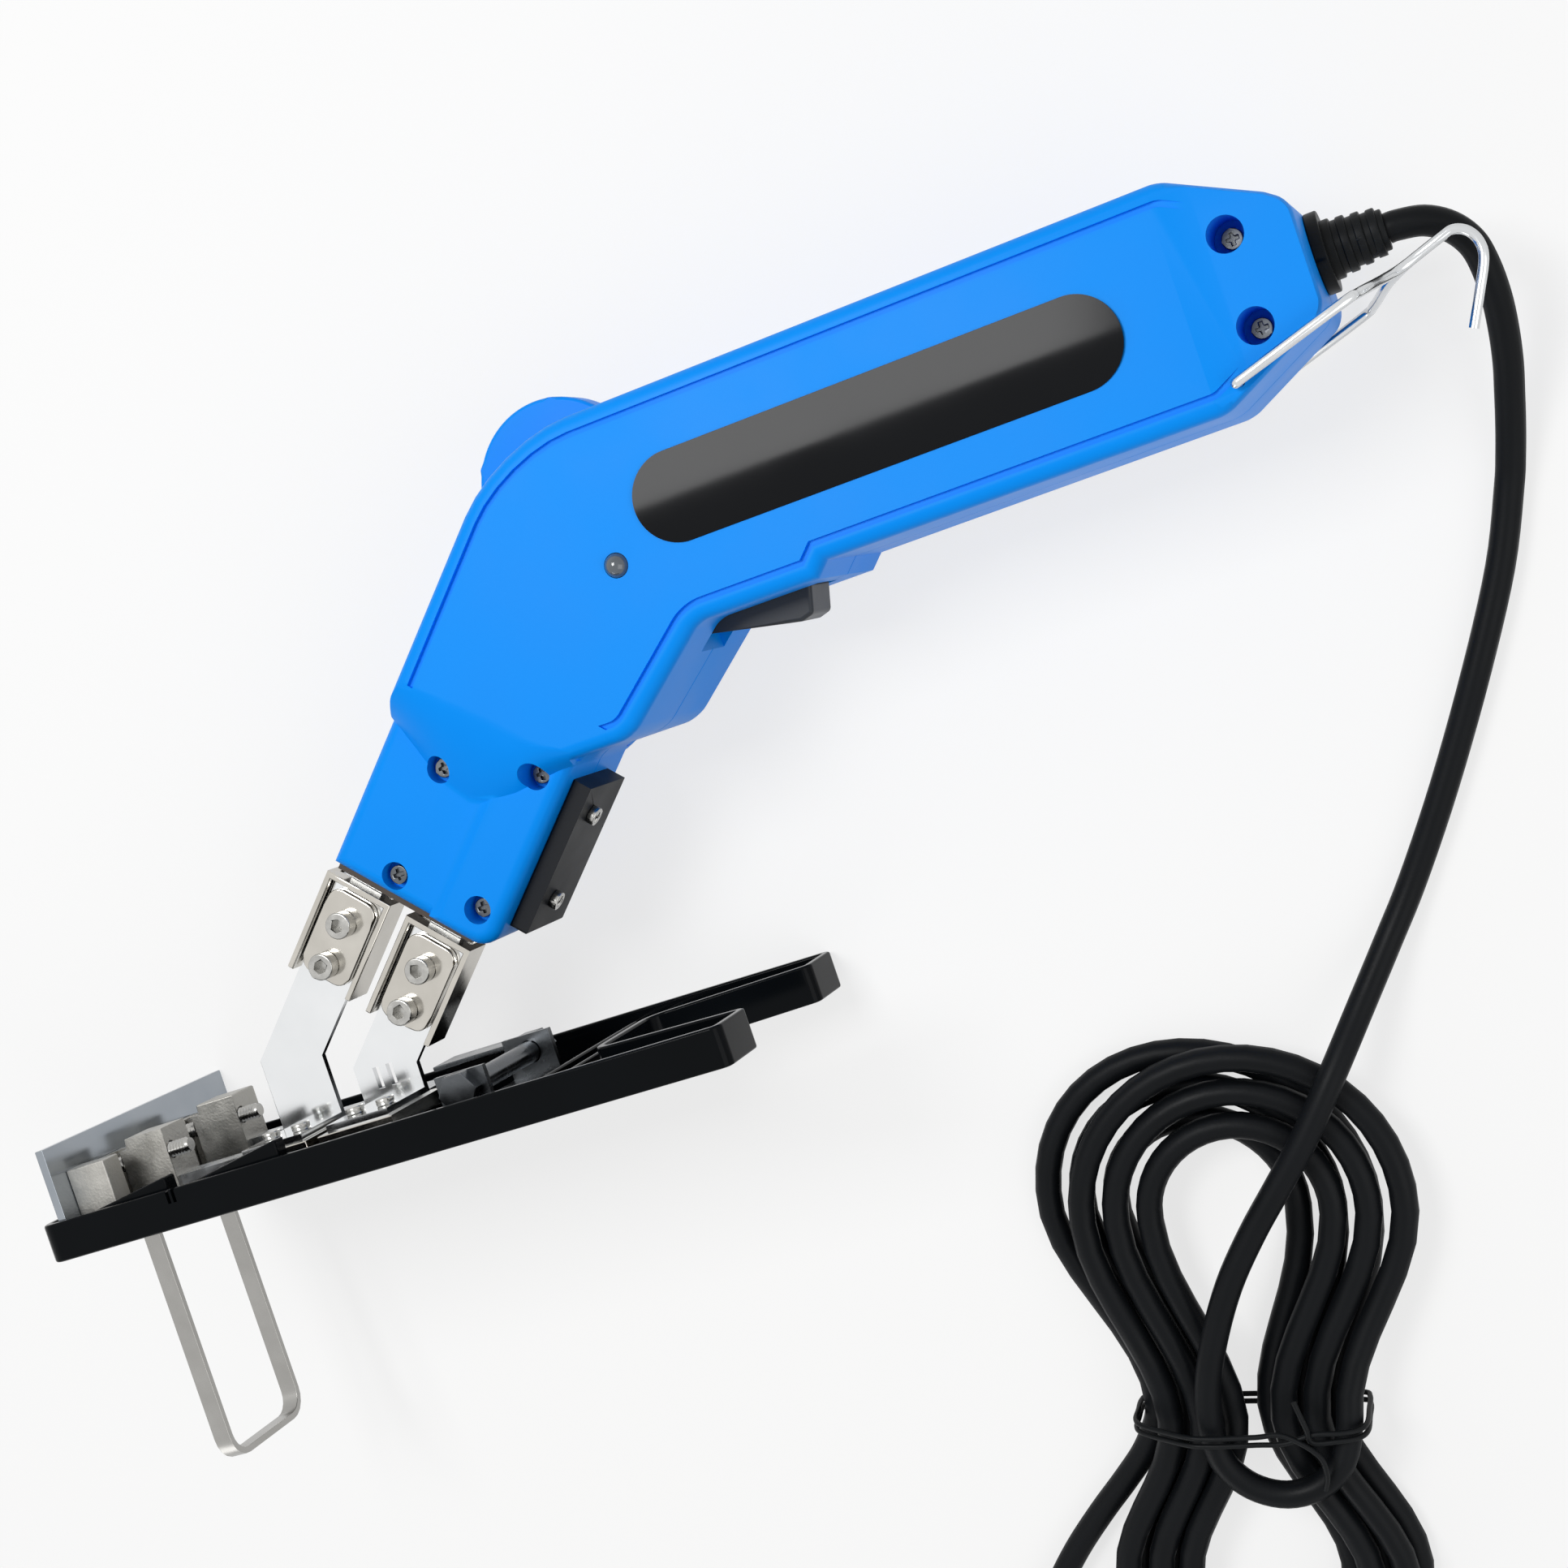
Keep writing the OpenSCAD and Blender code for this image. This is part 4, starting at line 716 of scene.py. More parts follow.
@dataclass
class MainsCord:
    """Rubber cord from the gland to the plug, laid in bench millimetres, with a hank held by a tie."""

    diameter: float = 6.0
    drop: list[Corner] = field(default_factory=lambda: [
        (0, 0, 0), (2, 0, 0), (7, -1, -0.3), (11.2, -3.8, -1.1), (14, -8, -2.4), (15, -13, -4.3),
        (15.1, -19.6, -7.3)])
    lead: list[Corner] = field(default_factory=lambda: [
        (173.2, 44.5, 14.4), (172, 38, 11.4), (170.4, 32, 8.8), (168.7, 26, 6.5), (166.8, 20, 4.7),
        (164.6, 14, 3.6), (158, -1, 3.2), (147, -20, 3.2), (133.5, -41, 3.2), (121, -58.5, 3.4),
        (112, -69.5, 5.4), (103, -80, 10), (93.5, -91, 15.4), (83.5, -102.5, 17.6), (74.5, -111.5, 18),
        (66, -120, 18), (57.4, -130, 18), (50, -141.5, 18), (45, -152, 18), (42.6, -161.9, 18),
        (42.9, -169.6, 18), (47, -176, 18), (53.8, -179.6, 18), (61.5, -179.2, 17.8), (67.9, -175.1, 17)])
    tail: list[Corner] = field(default_factory=lambda: [
        (-22.6, -4, 4.3), (-26, -11, 3.8), (-31.5, -18.5, 3.2), (-38, -26.5, 3.2), (-45, -36, 3.4),
        (-51, -46, 4.4), (-55.2, -55, 6), (-57.4, -63, 7), (-58, -70, 7), (-58, -72, 7)])
    hank_at: Place = (50.4, -163.6)
    hank_angle: float = 77.5
    turns: float = 5.5
    upper_turns: float = 2.5
    change_turns: float = 0.5
    rings: int = 72
    loop_radius: float = 18.0
    loop_step: float = 7.6
    waist_half: float = 3.6
    waist_step: float = 7.2
    reach_up: float = 48.0
    reach_down: float = 40.0
    layers: Span = (3.1, 9.8)
    leans: Span = (-5.0, 2.0)
    tie_lift: float = 1.3
    lead_step: float = 4.2
    lead_step_turns: float = 0.08
    run_turns: float = 0.1
    gland_end: Corner = (334.0, 113.5, 0.0)
    plug_edge: float = 2.4
    pin_edge: float = 0.6
    gland_edge: float = 0.3
    tie_wire: float = 1.2
    tie_half: float = 0.9
    tie_start: list[Corner] = field(default_factory=lambda: [(11, 9, 22.6), (13, 3, 22.8)])
    tie_end: list[Corner] = field(default_factory=lambda: [
        (15, -3, 23.2), (16.4, -8, 22.6), (15.6, -12, 21.6)])
    tie_round: list[Place] = field(default_factory=lambda: [
        (14, 21.6), (20, 21), (23.8, 19.4), (25.5, 16), (25.6, 9), (25.5, 3), (23.5, 0.8), (12, 0.7),
        (0, 0.7), (-12, 0.7), (-23.5, 0.8), (-25.5, 3), (-25.6, 8), (-25.5, 13), (-23.4, 16.2),
        (-16.5, 20.4), (-12, 22.5), (-8.5, 22.9), (-5, 22.9), (2, 22.4), (8, 22)])

    @staticmethod
    def ease(t: float) -> float:
        """Gives a smooth step.

        Args:
            t: Share of the step.

        Returns:
            Height of the step, from zero to one.
        """
        return (1 - math.cos(math.pi * min(1.0, max(0.0, t)))) / 2

    def on_hank(self, across: float, along: float, height: float) -> Vector:
        """Places a point in the hank.

        Args:
            across: Distance across the hank.
            along: Distance along it from the tie.
            height: Height over the bench.

        Returns:
            The point on the bench.
        """
        a = math.radians(self.hank_angle)
        return Vector((self.hank_at[0] + across * math.sin(a) + along * math.cos(a),
                       self.hank_at[1] - across * math.cos(a) + along * math.sin(a), height))

    def hank_point(self, turn: float) -> Vector:
        """Places the cord's middle in the hank.

        Args:
            turn: Turns from the hank's start: loops spiral in on the upper layer and out on the lower.

        Returns:
            The point on the bench.
        """
        past = turn - self.upper_turns
        low = self.ease(past / self.change_turns)
        k = -past if past < 0 else max(0.0, past - self.change_turns)
        half_turn = (turn - math.floor(turn)) * 2
        upper = half_turn < 1
        t = half_turn - math.floor(half_turn)
        run = self.run_turns * 2
        reach = self.reach_up if upper else self.reach_down
        waist = self.waist_half + k * self.waist_step
        wide = self.loop_radius + k * self.loop_step
        up = min(1.0, t / run, (1 - t) / run)
        if up < 1:
            across = (1 if t < 0.5 else -1) * (waist + (wide - waist) * self.ease(up))
            along = reach * up
        else:
            angle = math.pi * (t - run) / (1 - 2 * run)
            across = wide * math.cos(angle)
            along = reach + wide * math.sin(angle)
        lean = math.tan(math.radians(self.leans[1] + (self.leans[0] - self.leans[1]) * low))
        shift = lean * along * self.ease(along / reach)
        height = self.layers[1] + (self.layers[0] - self.layers[1]) * low
        height += self.tie_lift * (1 - self.ease(up))
        height += self.lead_step * max(0.0, 1 - turn / self.lead_step_turns) ** 2
        return self.on_hank(across + shift if upper else -across, along if upper else -along, height)

    @staticmethod
    def smooth(points: list[Vector], steps: int = 5) -> list[Vector]:
        """Draws a smooth run through chosen points.

        Args:
            points: The chosen points.
            steps: Pieces between two of them.

        Returns:
            Points along the run, without the last one.
        """
        run = []
        for i in range(len(points) - 1):
            a, b = points[max(0, i - 1)], points[i]
            c, d = points[i + 1], points[min(len(points) - 1, i + 2)]
            for k in range(steps):
                t = k / steps
                run.append(0.5 * (2 * b + (c - a) * t + (2 * a - 5 * b + 4 * c - d) * t ** 2
                                  + (3 * b - a - 3 * c + d) * t ** 3))
        return run

    def route(self) -> list[Vector]:
        """Joins the lead, the hank and the tail.

        Returns:
            The cord's middle from the gland to the plug, in metres.
        """
        start = ToolAxes().matrix() @ Vector(self.gland_end) / MM
        hank = [self.hank_point(i / self.rings) for i in range(round(self.turns * self.rings) + 1)]
        lead = [start + Vector(p) for p in self.drop] + [Vector(p) for p in self.lead] + [hank[0]]
        tail = [hank[-1]] + [self.on_hank(*p) for p in self.tail]
        points = self.smooth(lead) + hank[:-1] + self.smooth(tail) + [tail[-1]]
        return [p * MM for p in points]

    def tie(self) -> list[Vector]:
        """Winds the tie round the hank.

        Returns:
            The tie's two turns and its crossed ends, in metres.
        """
        turns = [(across, along, height) for along in (-self.tie_half, self.tie_half)
                 for across, height in self.tie_round]
        points = [self.on_hank(*p) for p in [*self.tie_start, *turns, *self.tie_end]]
        return [p * MM for p in self.smooth(points) + [points[-1]]]

    def lay(self) -> None:
        """Lays the cord as one curve and dresses the plug, the tie and the gland."""
        points = self.route()
        cord = bent("mains_cord", [points], self.diameter, RUBBER_SHEATH, TOOL, "cord_lead", "cord_hank",
                    "cord_tail")
        plug = eased("plug_body", self.plug_edge, PVC, segments=4)
        pins = eased("plug_pins", self.pin_edge, PLATED_SCREW, segments=3)
        tie = bent("tie_wire", [self.tie()], self.tie_wire, PVC, TOOL, "hank_tie")
        eased("cable_gland", self.gland_edge, PVC)


class Side(Enum):
    """Half of the casing: the near one has the screws' heads, the label and the lamp."""

    NEAR = "near"
    FAR = "far"


@dataclass
class Casing:
    """Two moulded halves with rounded edges, a pressed line round the handle and a narrower nose."""

    half_handle: float = 23.0
    half_nose: float = 16.0
    wall: float = 2.6
    edge: float = 3.0
    edge_steps: int = 5
    seam: float = 0.25
    nose_at: Place = (82.0, 64.0)
    nose_angle: float = 45.0
    nose_width: float = 42.0
    nose_front: list[Corner] = field(default_factory=lambda: [(0, 0, 0), (0, 42, 5)])
    thick_front: list[Corner] = field(default_factory=lambda: [(22, 0, 0), (22, 42, 0)])
    hollow_front: list[Corner] = field(default_factory=lambda: [(56, 0, 0), (49, 8, 8), (49, 26, 8)])
    handle: list[Corner] = field(default_factory=lambda: [
        (161, 68, 9), (183, 86, 6), (210, 86, 0), (213, 89, 0), (297, 89, 8), (320, 101, 5), (320, 123, 5),
        (316, 126, 5), (298, 135, 8), (153, 135, 40)])
    handle_top: float = 135.0
    rear_x: float = 320.0
    knuckle_y: float = 68.0
    knuckle_radius: float = 6.0
    trigger_x: float = 181.5
    line_inset: float = 3.4
    line_width: float = 1.3
    line_depth: float = 1.0
    field_x: float = 303.0
    field_step: float = 1.2
    field_lean: float = 14.0
    field_foot: float = 80.0
    line_gap: list[Place] = field(default_factory=lambda: [
        (0, -40), (0, 82), (58, 82), (58, 21), (46, 21), (46, -40)])
    nose_screws: list[Place] = field(default_factory=lambda: [
        (31, 15), (40.4, 35.8), (4.6, 15), (7.6, 35.8)])
    rear_screws: list[Place] = field(default_factory=lambda: [(307.0, 121.0), (307.0, 103.0)])
    nose_boss: float = 3.4
    rear_boss: float = 4.2
    nose_boss_drop: float = 2.0
    rear_boss_bite: float = 0.4
    counterbore: float = 3.1
    rear_counterbore: float = 3.6
    seat: float = 12.0
    rear_seat: float = 9.0
    pilot: float = 1.35
    pilot_ends: dict[Side, float] = field(default_factory=lambda: {Side.NEAR: 14.0, Side.FAR: 9.0})
    screw_edge: float = 0.2
    hook_at: Place = (301.0, 94.1)
    hook_bore: float = 1.05
    hook_bore_ends: Span = (17.0, 24.0)
    lamp_at: Place = (170.6, 102.5)
    lamp_bore: float = 2.65
    lamp_seat: float = 12.0
    trigger_gap: float = 7.4
    trigger_reach: Span = (-5.0, 24.0)
    trigger_top: float = 95.0
    dial_at: Place = (157.1, 124.6)
    dial_bore: float = 19.3
    dial_gap: float = 4.8
    gland_y: float = 113.5
    gland_bore: float = 5.05
    gland_cut: Span = (-6.0, 2.0)
    busbars: Span = (7.0, 28.0)
    busbar_half: float = 4.05
    busbar_z: Span = (5.45, 8.55)
    outside: float = 30.0
    past: float = 1.0
    ramp_hollow: float = 0.7
    ramp_steps: int = 10
    ramp_lines: list[Corner] = field(default_factory=lambda: [
        (-10, 38, 47), (0, 36, 46.5), (6, 33.2, 46.8), (12, 30.4, 47.4), (18, 27.8, 48), (24, 27, 48.4),
        (29, 28.6, 48.4), (33, 32.5, 48.4), (37, 38.5, 49), (42, 46, 50.5), (60, 58, 62)])
    raised_edge: float = 29.0
    raised_slope: float = 3.2
    raised_span: Span = (-47.0, 5.0)
    raised_rise: float = 1.4
    raised_foot: float = 4.0
    label_at: Place = (231.0, 111.5)
    label_size: Span = (105.0, 19.0)
    label_corner: float = 9.45
    label_depth: float = 0.5
    label_rise: float = 0.2
    label_crown: float = 0.5
    label_steps: int = 32

    def nose(self, along: float, across: float) -> Place:
        """Places a point on the nose.

        Args:
            along: Distance from the nose's end.
            across: Distance from its upper side.

        Returns:
            X and Y of the point.
        """
        a = math.radians(self.nose_angle)
        return (self.nose_at[0] + along * math.cos(a) + across * math.sin(a),
                self.nose_at[1] + along * math.sin(a) - across * math.cos(a))

    def outlines(self) -> list[list[Corner]]:
        """Joins the nose's three fronts to the handle.

        Returns:
            The outlines of the whole casing, of its thick part and of that part's hollow.
        """
        a = math.radians(self.nose_angle)
        along = (self.knuckle_y - self.nose_at[1] + self.nose_width * math.cos(a)) / math.sin(a)
        knuckle = self.nose(along, self.nose_width)
        fronts = (self.nose_front, self.knuckle_radius), (self.thick_front, 0), (self.hollow_front, 0)
        return [[*((*self.nose(x, y), radius) for x, y, radius in front), (*knuckle, bend), *self.handle]
                for front, bend in fronts]

    @staticmethod
    def inset(corners: list[Corner], by: float) -> list[Corner]:
        """Moves an anticlockwise outline inwards.

        Args:
            corners: Corners with their radii.
            by: Distance of the move.

        Returns:
            The corners of the smaller outline.
        """
        moved = []
        for i, (x, y, radius) in enumerate(corners):
            point = Vector((x, y))
            ahead = Vector(corners[(i + 1) % len(corners)][:2]) - point
            behind = point - Vector(corners[i - 1][:2])
            ahead.normalize()
            behind.normalize()
            sides = Vector((-behind.y, behind.x)), Vector((-ahead.y, ahead.x))
            place = point + (sides[0] + sides[1]) * by / (1 + sides[0].dot(sides[1]))
            outward = behind.x * ahead.y - behind.y * ahead.x > 0
            moved.append((*place, max(0.0, radius - by) if outward else (radius + by if radius else 0.0)))
        return moved

    def ramp(self) -> Mesh:
        """Makes what is cut from the thick part, so that it falls to the nose in a hollowed slope.

        Returns:
            The cutting shape's mesh.
        """
        sunk = 0.2
        low, high = self.half_nose - sunk, self.half_handle + self.edge
        under = low - self.edge
        mesh = bmesh.new()
        rings = []
        for across, foot, head in self.ramp_lines:
            run, rise = head - foot, self.half_handle - low
            slope = [(foot + run * t, low + rise * (t + self.ramp_hollow * (t - t ** 2)))
                     for t in (i / self.ramp_steps for i in range(self.ramp_steps + 2))]
            profile = [(0, under), (foot - sunk, under), *slope, (slope[-1][0], high), (0, high)]
            rings.append([mesh.verts.new((*self.nose(along, across), z)) for along, z in profile])
        count = len(rings[0])
        for ring, following in zip(rings, rings[1:]):
            for k in range(count):
                mesh.faces.new((ring[k], ring[(k + 1) % count], following[(k + 1) % count], following[k]))
        mesh.faces.new(rings[0])
        mesh.faces.new(rings[-1])
        bmesh.ops.recalc_face_normals(mesh, faces=mesh.faces)
        return mesh

    def raised_field(self, whole: list[Corner]) -> Mesh:
        """Makes the low field beside the bumper bar, with a slope on its inner side.

        Args:
            whole: Outline of the whole casing.

        Returns:
            The field's mesh.
        """
        top, far, over = self.half_nose + self.raised_rise, 60, 0.02
        mesh = outline_prism(whole, self.half_nose - self.raised_foot, top)
        rim_eased(mesh, top, self.edge, self.edge_steps)
        inner = self.raised_edge - self.raised_slope
        keep = outline_prism([(inner, 0, 0), (far, 0, 0), (far, self.outside, 0),
                              (self.raised_edge, self.outside, 0), (self.raised_edge, top + over, 0),
                              (inner, self.half_nose - over, 0)], *self.raised_span)
        a = math.radians(self.nose_angle)
        bmesh.ops.transform(keep, verts=keep.verts, matrix=Matrix((
            (math.sin(a), 0, -math.cos(a), self.nose_at[0]),
            (-math.cos(a), 0, -math.sin(a), self.nose_at[1]), (0, 1, 0, 0), (0, 0, 0, 1))))
        return worked(mesh, (Work.KEEP, [keep]))

    def shell(self) -> tuple[Mesh, list[tuple[Work, list[Mesh]]]]:
        """Prepares the near half: a thin nose and a thick handle with a pressed line.

        Returns:
            Its blank, and the work that makes it a shell.
        """
        whole, thick, inside = self.outlines()
        nose, handle = outline_prism(whole, 0, self.half_nose), outline_prism(thick, 0, self.half_handle)
        for mesh, top in ((nose, self.half_nose), (handle, self.half_handle)):
            rim_eased(mesh, top, self.edge, self.edge_steps)
            rim_eased(mesh, 0, self.seam, segments=1)
        handle = worked(handle, (Work.CUT, [self.ramp()]))
        hollow = [outline_prism(self.inset(corners, self.wall), -self.past, top - self.wall)
                  for corners, top in ((whole, self.half_nose), (inside, self.half_handle))]
        over = self.half_handle + self.past
        around = over - 3 * self.past, over + self.past
        ring = worked(
            outline_prism(self.inset(thick, self.line_inset), self.half_handle - self.line_depth, over),
            (Work.CUT, [outline_prism(self.inset(thick, self.line_inset + self.line_width), *around),
                        outline_prism([(*self.nose(*at), 0) for at in self.line_gap], *around)]))
        rear_field = square_bar((self.field_x, self.field_foot, self.half_handle - self.field_step),
                                (self.rear_x + self.past, self.handle_top + self.past, over))
        for vert in rear_field.verts:
            if vert.co.x < self.rear_x and vert.co.z > self.half_handle:
                vert.co.x -= self.field_lean
        return nose, [(Work.JOIN, [handle, self.raised_field(whole)]), (Work.CUT, hollow),
                      (Work.CUT, [ring, rear_field])]

    def openings(self) -> list[Mesh]:
        """Makes what cuts the openings of both halves, on whichever they lie.

        Returns:
            The cutting shapes' meshes, for the trigger, the dial, the gland and the busbars.
        """
        gland = round_bar((0, 0), self.gland_bore, *self.gland_cut)
        bmesh.ops.transform(gland, verts=gland.verts, matrix=Matrix.Rotation(math.radians(90), 4, "Y"))
        bmesh.ops.translate(gland, verts=gland.verts, vec=(self.rear_x, self.gland_y, 0))
        bars = []
        for across in self.busbars:
            bar = square_bar((-self.past, -self.busbar_half, self.busbar_z[0]),
                             (self.wall + self.past, self.busbar_half, self.busbar_z[1]))
            turn = Matrix.Rotation(math.radians(self.nose_angle), 4, "Z")
            bmesh.ops.transform(bar, verts=bar.verts, matrix=turn)
            bmesh.ops.translate(bar, verts=bar.verts, vec=(*self.nose(0, across), 0))
            bars.append(bar)
        front, back = (self.trigger_x + reach for reach in self.trigger_reach)
        trigger = square_bar((front, self.knuckle_y, -self.trigger_gap),
                             (back, self.trigger_top, self.trigger_gap))
        dial = round_bar(self.dial_at, self.dial_bore, -self.dial_gap, self.dial_gap, segments=64)
        return [trigger, dial, gland, *bars]

    def label(self, place: Matrix) -> None:
        """Lays the label's film, crowned a little across, in its recess.

        Args:
            place: The tool's axes on the bench.
        """
        low, edge = self.half_handle - self.label_depth, self.half_handle + self.label_rise
        half = self.label_size[0] / 2 - self.label_size[1] / 2
        radius = self.label_size[1] / 2
        mesh = bmesh.new()
        tops, feet = [], []
        for i in range(1, self.label_steps):
            turn = math.pi * (i / self.label_steps - 0.5)
            y, reach = radius * math.sin(turn), half + radius * math.cos(turn)
            height = edge + self.label_crown * math.cos(turn) ** 2
            tops.append([mesh.verts.new((self.label_at[0] + side * reach, self.label_at[1] + y, height))
                         for side in (-1, 1)])
            feet.append([mesh.verts.new((*vert.co.xy, low)) for vert in tops[-1]])
        for (a, b), (c, d), (e, f), (g, h) in zip(tops, tops[1:], feet, feet[1:]):
            for corners in ((a, b, d, c), (e, g, h, f), (a, c, g, e), (b, f, h, d)):
                mesh.faces.new(corners)
        for (a, b), (c, d) in ((tops[0], feet[0]), (tops[-1], feet[-1])):
            mesh.faces.new((a, b, d, c))
        bmesh.ops.recalc_face_normals(mesh, faces=mesh.faces)
        bmesh.ops.transform(mesh, verts=mesh.verts, matrix=place)
        finished("label_film", mesh, BLACK_FILM, TOOL, "label_plate")

    def half(self, side: Side) -> Mesh:
        """Makes one half of the casing.

        Args:
            side: Which half.

        Returns:
            Its mesh, in the tool's axes.
        """
        nose_screws = [self.nose(*at) for at in self.nose_screws]
        bosses = [round_bar(at, self.nose_boss, 0, self.half_nose - self.nose_boss_drop)
                  for at in nose_screws]
        bosses += [round_bar(at, self.rear_boss, 0, self.half_handle - self.wall + self.rear_boss_bite)
                   for at in self.rear_screws]
        bores = []
        cuts = [round_bar(self.hook_at, self.hook_bore, *self.hook_bore_ends, segments=24)]
        if side is Side.NEAR:
            bores += [round_bar(at, self.counterbore, self.seat, self.outside) for at in nose_screws]
            bores += [round_bar(at, self.rear_counterbore, self.rear_seat, self.outside)
                      for at in self.rear_screws]
            x, y = self.label_at
            w, h = self.label_size[0] / 2, self.label_size[1] / 2
            label = [(*at, self.label_corner)
                     for at in ((x - w, y - h), (x + w, y - h), (x + w, y + h), (x - w, y + h))]
            cuts = [*self.openings(), *cuts,
                    outline_prism(label, self.half_handle - self.label_depth, self.outside, steps=12),
                    round_bar(self.lamp_at, self.lamp_bore, self.lamp_seat, self.outside)]
        bores += [round_bar(at, self.pilot, -self.past, self.pilot_ends[side], segments=24)
                  for at in nose_screws + self.rear_screws]
        blank, steps = self.shell()
        mesh = worked(blank, *steps, (Work.JOIN, bosses), (Work.CUT, bores), (Work.CUT, cuts))
        if side is Side.FAR:
            bmesh.ops.scale(mesh, vec=(1, 1, -1), verts=mesh.verts)
            bmesh.ops.reverse_faces(mesh, faces=mesh.faces)
            mesh = worked(mesh, (Work.CUT, self.openings()))
        return mesh

    def build(self) -> None:
        """Builds both halves, the screws, the label and the lamp."""
        place = ToolAxes().matrix()
        for side in Side:
            mesh = self.half(side)
            bmesh.ops.transform(mesh, verts=mesh.verts, matrix=place)
            finished(f"casing_{side.value}_shell", mesh, BLUE_ABS, TOOL, f"casing_{side.value}")
        # The casing's screws are plated like the others; their dark grey here is painted shade of the deep
        # counterbores they sit in
        eased("casing_screws", self.screw_edge, BLACKENED_STEEL_AND_PAINTED_SHADE)
        self.label(place)
        dressed(SMOKED_LENS, "indicator_lamp")


@dataclass
class Hanger:
    """Bent wire that pivots in the casing's sides and hooks over the handle's end."""

    pivot: Place = (301.0, 94.1)
    wire: float = 2.0
    side: float = 24.4
    stub: float = 4.2
    stub_end: float = 1.2
    weld: Place = (37.0, 12.1)
    bend_steps: int = 6
    plane: float = 7.0
    second_plane: float = 5.5
    legs: list[Corner] = field(default_factory=lambda: [
        (1.2, 0.4, 1), (21.5, 6.7, 1), (25.5, 8, 0.8), (30, 9.6, 0.25), (34, 10.9, 0)])
    tip: list[Place] = field(default_factory=lambda: [
        (42, 13.6), (44.6, 14.2), (47, 13), (48.4, 10.4), (48.2, 7), (45.4, 1), (42.6, -4.6)])

    def leg(self, way: int, plane: float) -> list[Vector]:
        """Gives one leg's points from its stub in the casing to the weld.

        Args:
            way: One for the near leg, minus one for the far leg.
            plane: Z of the leg's end.

        Returns:
            The points, in the tool's axes.
        """
        x, y = self.pivot
        points = [Vector((x, y, way * (self.side - depth))) for depth in (self.stub, self.stub_end)]
        return points + [Vector((x + p, y + q, plane + (way * self.side - plane) * spread))
                         for p, q, spread in self.legs]

    def build(self) -> None:
        """Bends the wire as one curve of two runs."""
        x, y = self.pivot
        runs = [self.leg(1, self.plane) + [Vector((x + p, y + q, self.plane)) for p, q in self.tip],
                self.leg(-1, self.second_plane)
                + [Vector((x + self.weld[0], y + self.weld[1], self.second_plane))]]
        place = ToolAxes().matrix()
        smooth = [MainsCord.smooth(run, self.bend_steps) + [run[-1]] for run in runs]
        bent("hanger_wire", [[place @ p for p in run] for run in smooth], self.wire, DRAWN_WIRE, "hook",
             "hanger_hook")


@dataclass
class Controls:
    """Power dial on the heel and trigger under the handle."""

    dial_edge: float = 0.9
    trigger_edge: float = 0.9

    def build(self) -> None:
        """Breaks the controls' edges and dresses the switch behind them."""
        eased("dial_wheel", self.dial_edge, BLUE_ABS, "dial", segments=4)
        eased("trigger", self.trigger_edge, BLACK_ABS, "trigger_lever", segments=3)
        dressed(PLATED_SCREW, "dial_shaft", "trigger_pin")
        dressed(BLACK_NYLON, "potentiometer", "switch_body")
        dressed(RED_MOULDING, "switch_plunger")


@dataclass
class BladeHolder:
    """Clamps on the nose with their arms, and the bumper bar beside them."""

    sheet_edge: float = 0.35
    strip_edge: float = 0.12
    screw_edge: float = 0.35
    rail_edge: float = 0.6
    rail_screw_edge: float = 0.25

    def build(self) -> None:
        """Breaks the edges of pressed sheet, rolled strip and screws."""
        for name in ("clamp_channel_front", "clamp_channel_rear", "clamp_plate_front", "clamp_plate_rear"):
            eased(name, self.sheet_edge, NICKEL)
        for name in ("blade_arm_front", "blade_arm_rear"):
            eased(name, self.strip_edge, BRIGHT_STRIP)
        eased("clamp_screws", self.screw_edge, PLATED_SCREW)
        eased("nose_rail", self.rail_edge, BLACK_NYLON)
        eased("rail_screws", self.rail_screw_edge, PLATED_SCREW)
        dressed(PHENOLIC_PAPER, "heat_shield")


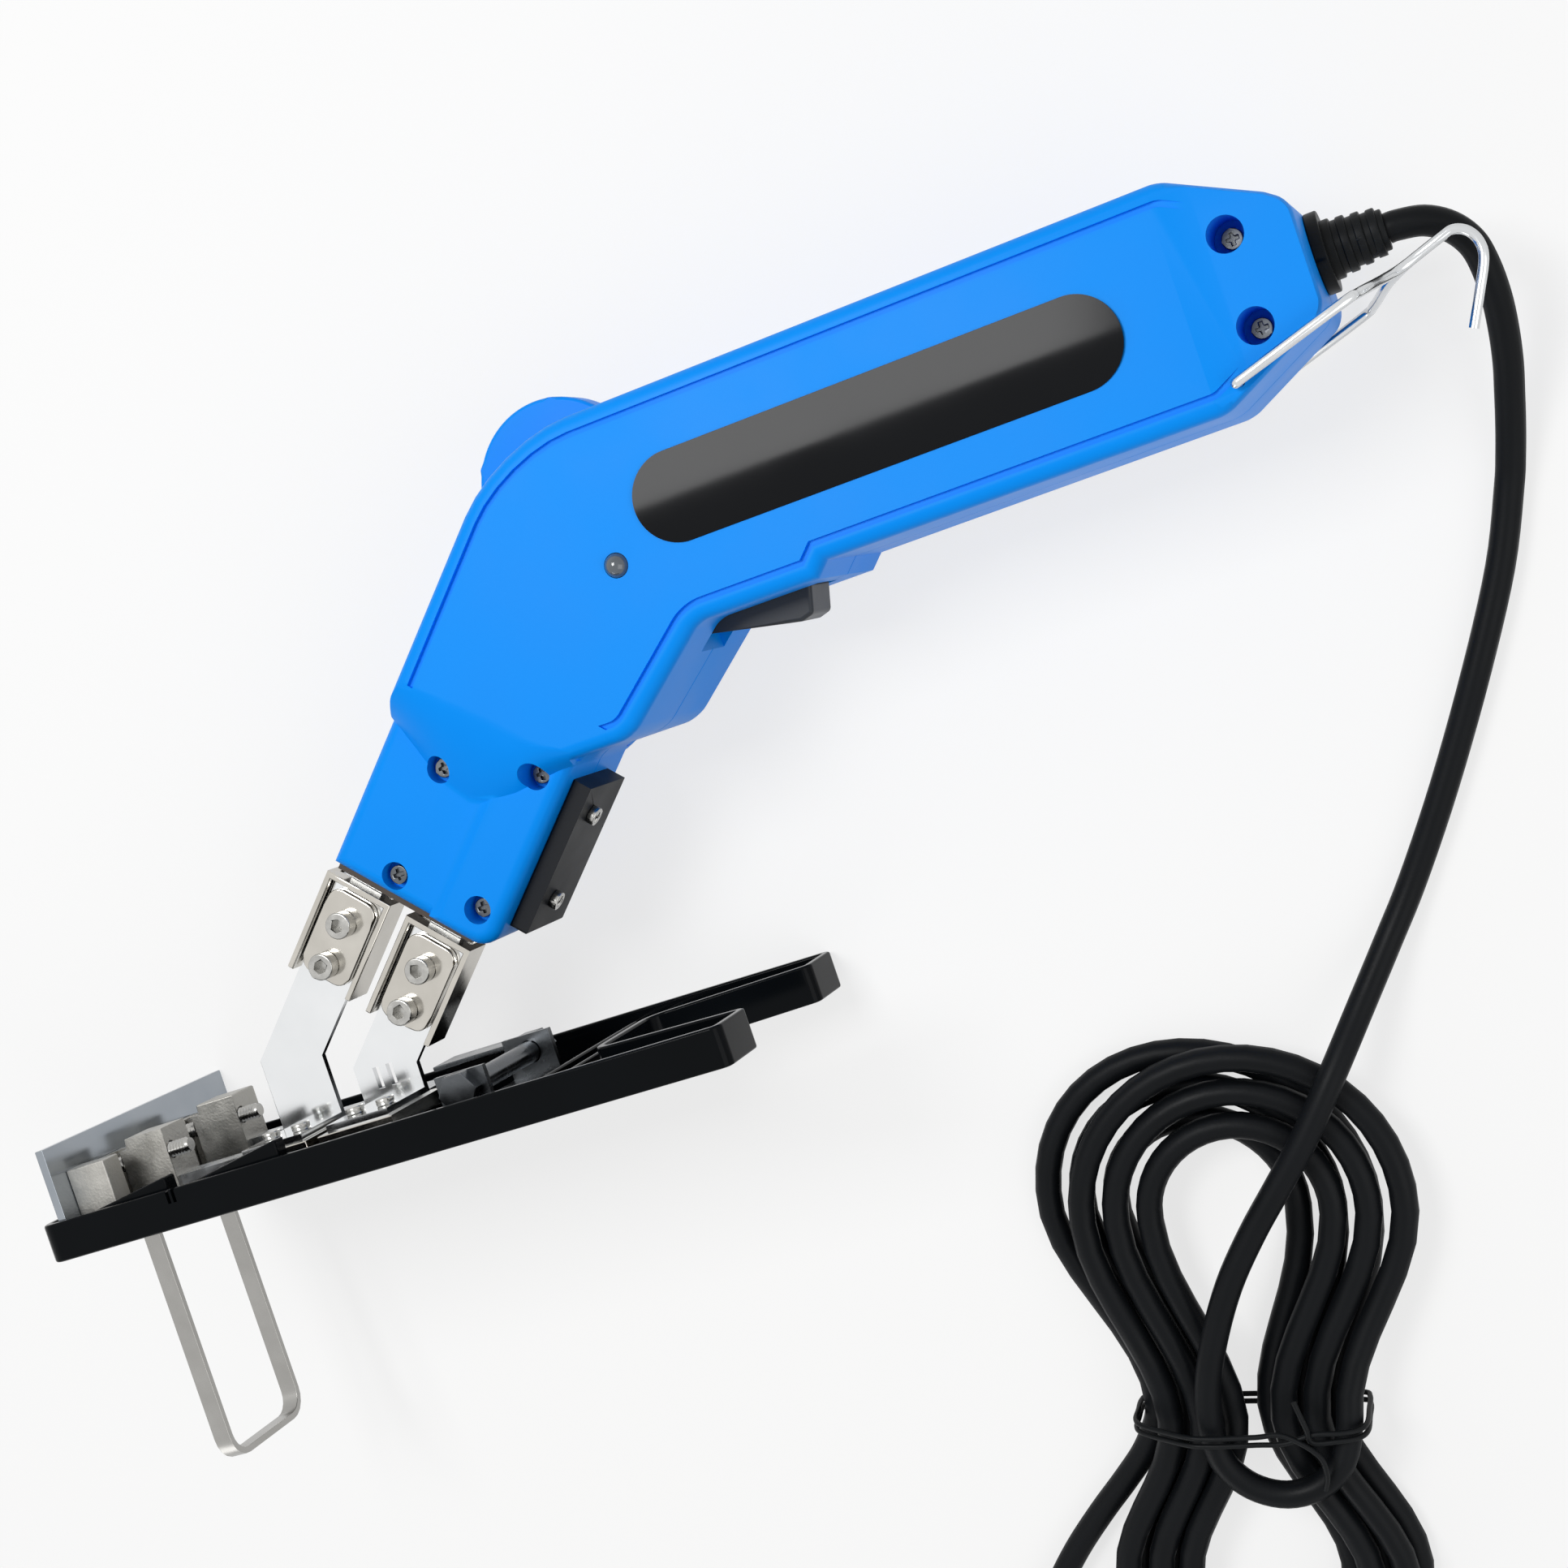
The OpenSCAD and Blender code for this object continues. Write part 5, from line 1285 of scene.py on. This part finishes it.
@dataclass
class Sled:
    """Black tray that slides on the work, with the plates, blocks and blade that it carries."""

    tray_edge: float = 0.5
    plate_edge: float = 0.2
    block_edge: float = 0.35
    screw_edge: float = 0.25
    blade_edge: float = 0.15
    stud_radius: float = 1.8
    stud_pitch: float = 0.8
    stud_depth: float = 0.35
    stud_steps: int = 28
    stud_crease: float = 50.0
    stud_ends: Span = (6.9, 30.0)
    stud_places: tuple[Place, ...] = ((14.6, 23.55), (14.6, -7.45))

    def studs(self) -> None:
        """Turns the studs that clamp the blade, with their threads as ridges."""
        start, end = self.stud_ends
        count = int((end - start) / self.stud_pitch)
        inner = self.stud_radius - self.stud_depth
        profile = [(start, 0.0), (start, inner)]
        for i in range(count):
            profile += [(start + (i + 0.5) * self.stud_pitch, self.stud_radius),
                        (start + (i + 1) * self.stud_pitch, inner)]
        profile += [(end, inner), (end, 0.0)]
        studs = bmesh.new()
        for y, z in self.stud_places:
            line = [studs.verts.new((x, y + r, z)) for x, r in profile]
            edges = [studs.edges.new(pair) for pair in zip(line, line[1:])]
            bmesh.ops.spin(studs, geom=line + edges, cent=(0, y, z), axis=(1, 0, 0), angle=math.tau,
                           steps=self.stud_steps, use_merge=True)
        bmesh.ops.remove_doubles(studs, verts=studs.verts, dist=TOUCHING)
        bmesh.ops.recalc_face_normals(studs, faces=studs.faces)
        bmesh.ops.transform(studs, verts=studs.verts, matrix=ToolAxes().matrix())
        finished("block_studs", studs, PLATED_SCREW, TOOL, "block_screws", crease=self.stud_crease)

    def build(self) -> None:
        """Breaks the edges of the tray and its fittings, and dresses the blade."""
        eased("sled_base", self.tray_edge, BLACK_PHENOLIC)
        eased("foot_plates", self.plate_edge, NICKEL)
        eased("front_plate", self.plate_edge, POLISHED_PLATE)
        for name in ("guide_strip", "cross_bracket", "cross_bolt", "cross_nut"):
            eased(name, self.plate_edge, BLACKENED_STEEL_AND_PAINTED_SHADE)
        for name in ("spacer_block", "blade_block_near", "blade_block_far"):
            eased(name, self.block_edge, TUMBLED_ZINC)
        eased("foot_screws", self.screw_edge, PLATED_SCREW)
        self.studs()
        eased("cutting_blade", self.blade_edge, GROUND_STAINLESS, "blade")
        dressed(TINNED_COPPER, "sled_conductors")


@dataclass
class Works:
    """What the casing holds: transformer, board, leads and the cord's inner end."""

    def dress(self) -> None:
        """Gives each inner node its finish."""
        dressed(BOARD_LACQUER, "circuit_board")
        dressed(DIPPED_PARTS, "board_parts")
        dressed(STACKED_SHEETS, "transformer_core")
        dressed(ROLLED_COPPER, "transformer_winding", "secondary_leads")
        dressed(TINNED_COPPER, "busbar_front", "busbar_rear")
        dressed(CREAM_MOULDING, "terminal_block", "cord_clip")
        dressed(RUBBER_SHEATH, "cord_inner")
        dressed(PVC, "mains_leads")


def main() -> None:
    """Builds the scene piece by piece."""
    logging.basicConfig(level=logging.INFO, format="%(message)s")
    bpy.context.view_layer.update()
    PhotoCamera().place()
    Studio().light()
    MainsCord().lay()
    Casing().build()
    Controls().build()
    BladeHolder().build()
    Sled().build()
    Hanger().build()
    Works().dress()


if __name__ == "__main__":
    main()
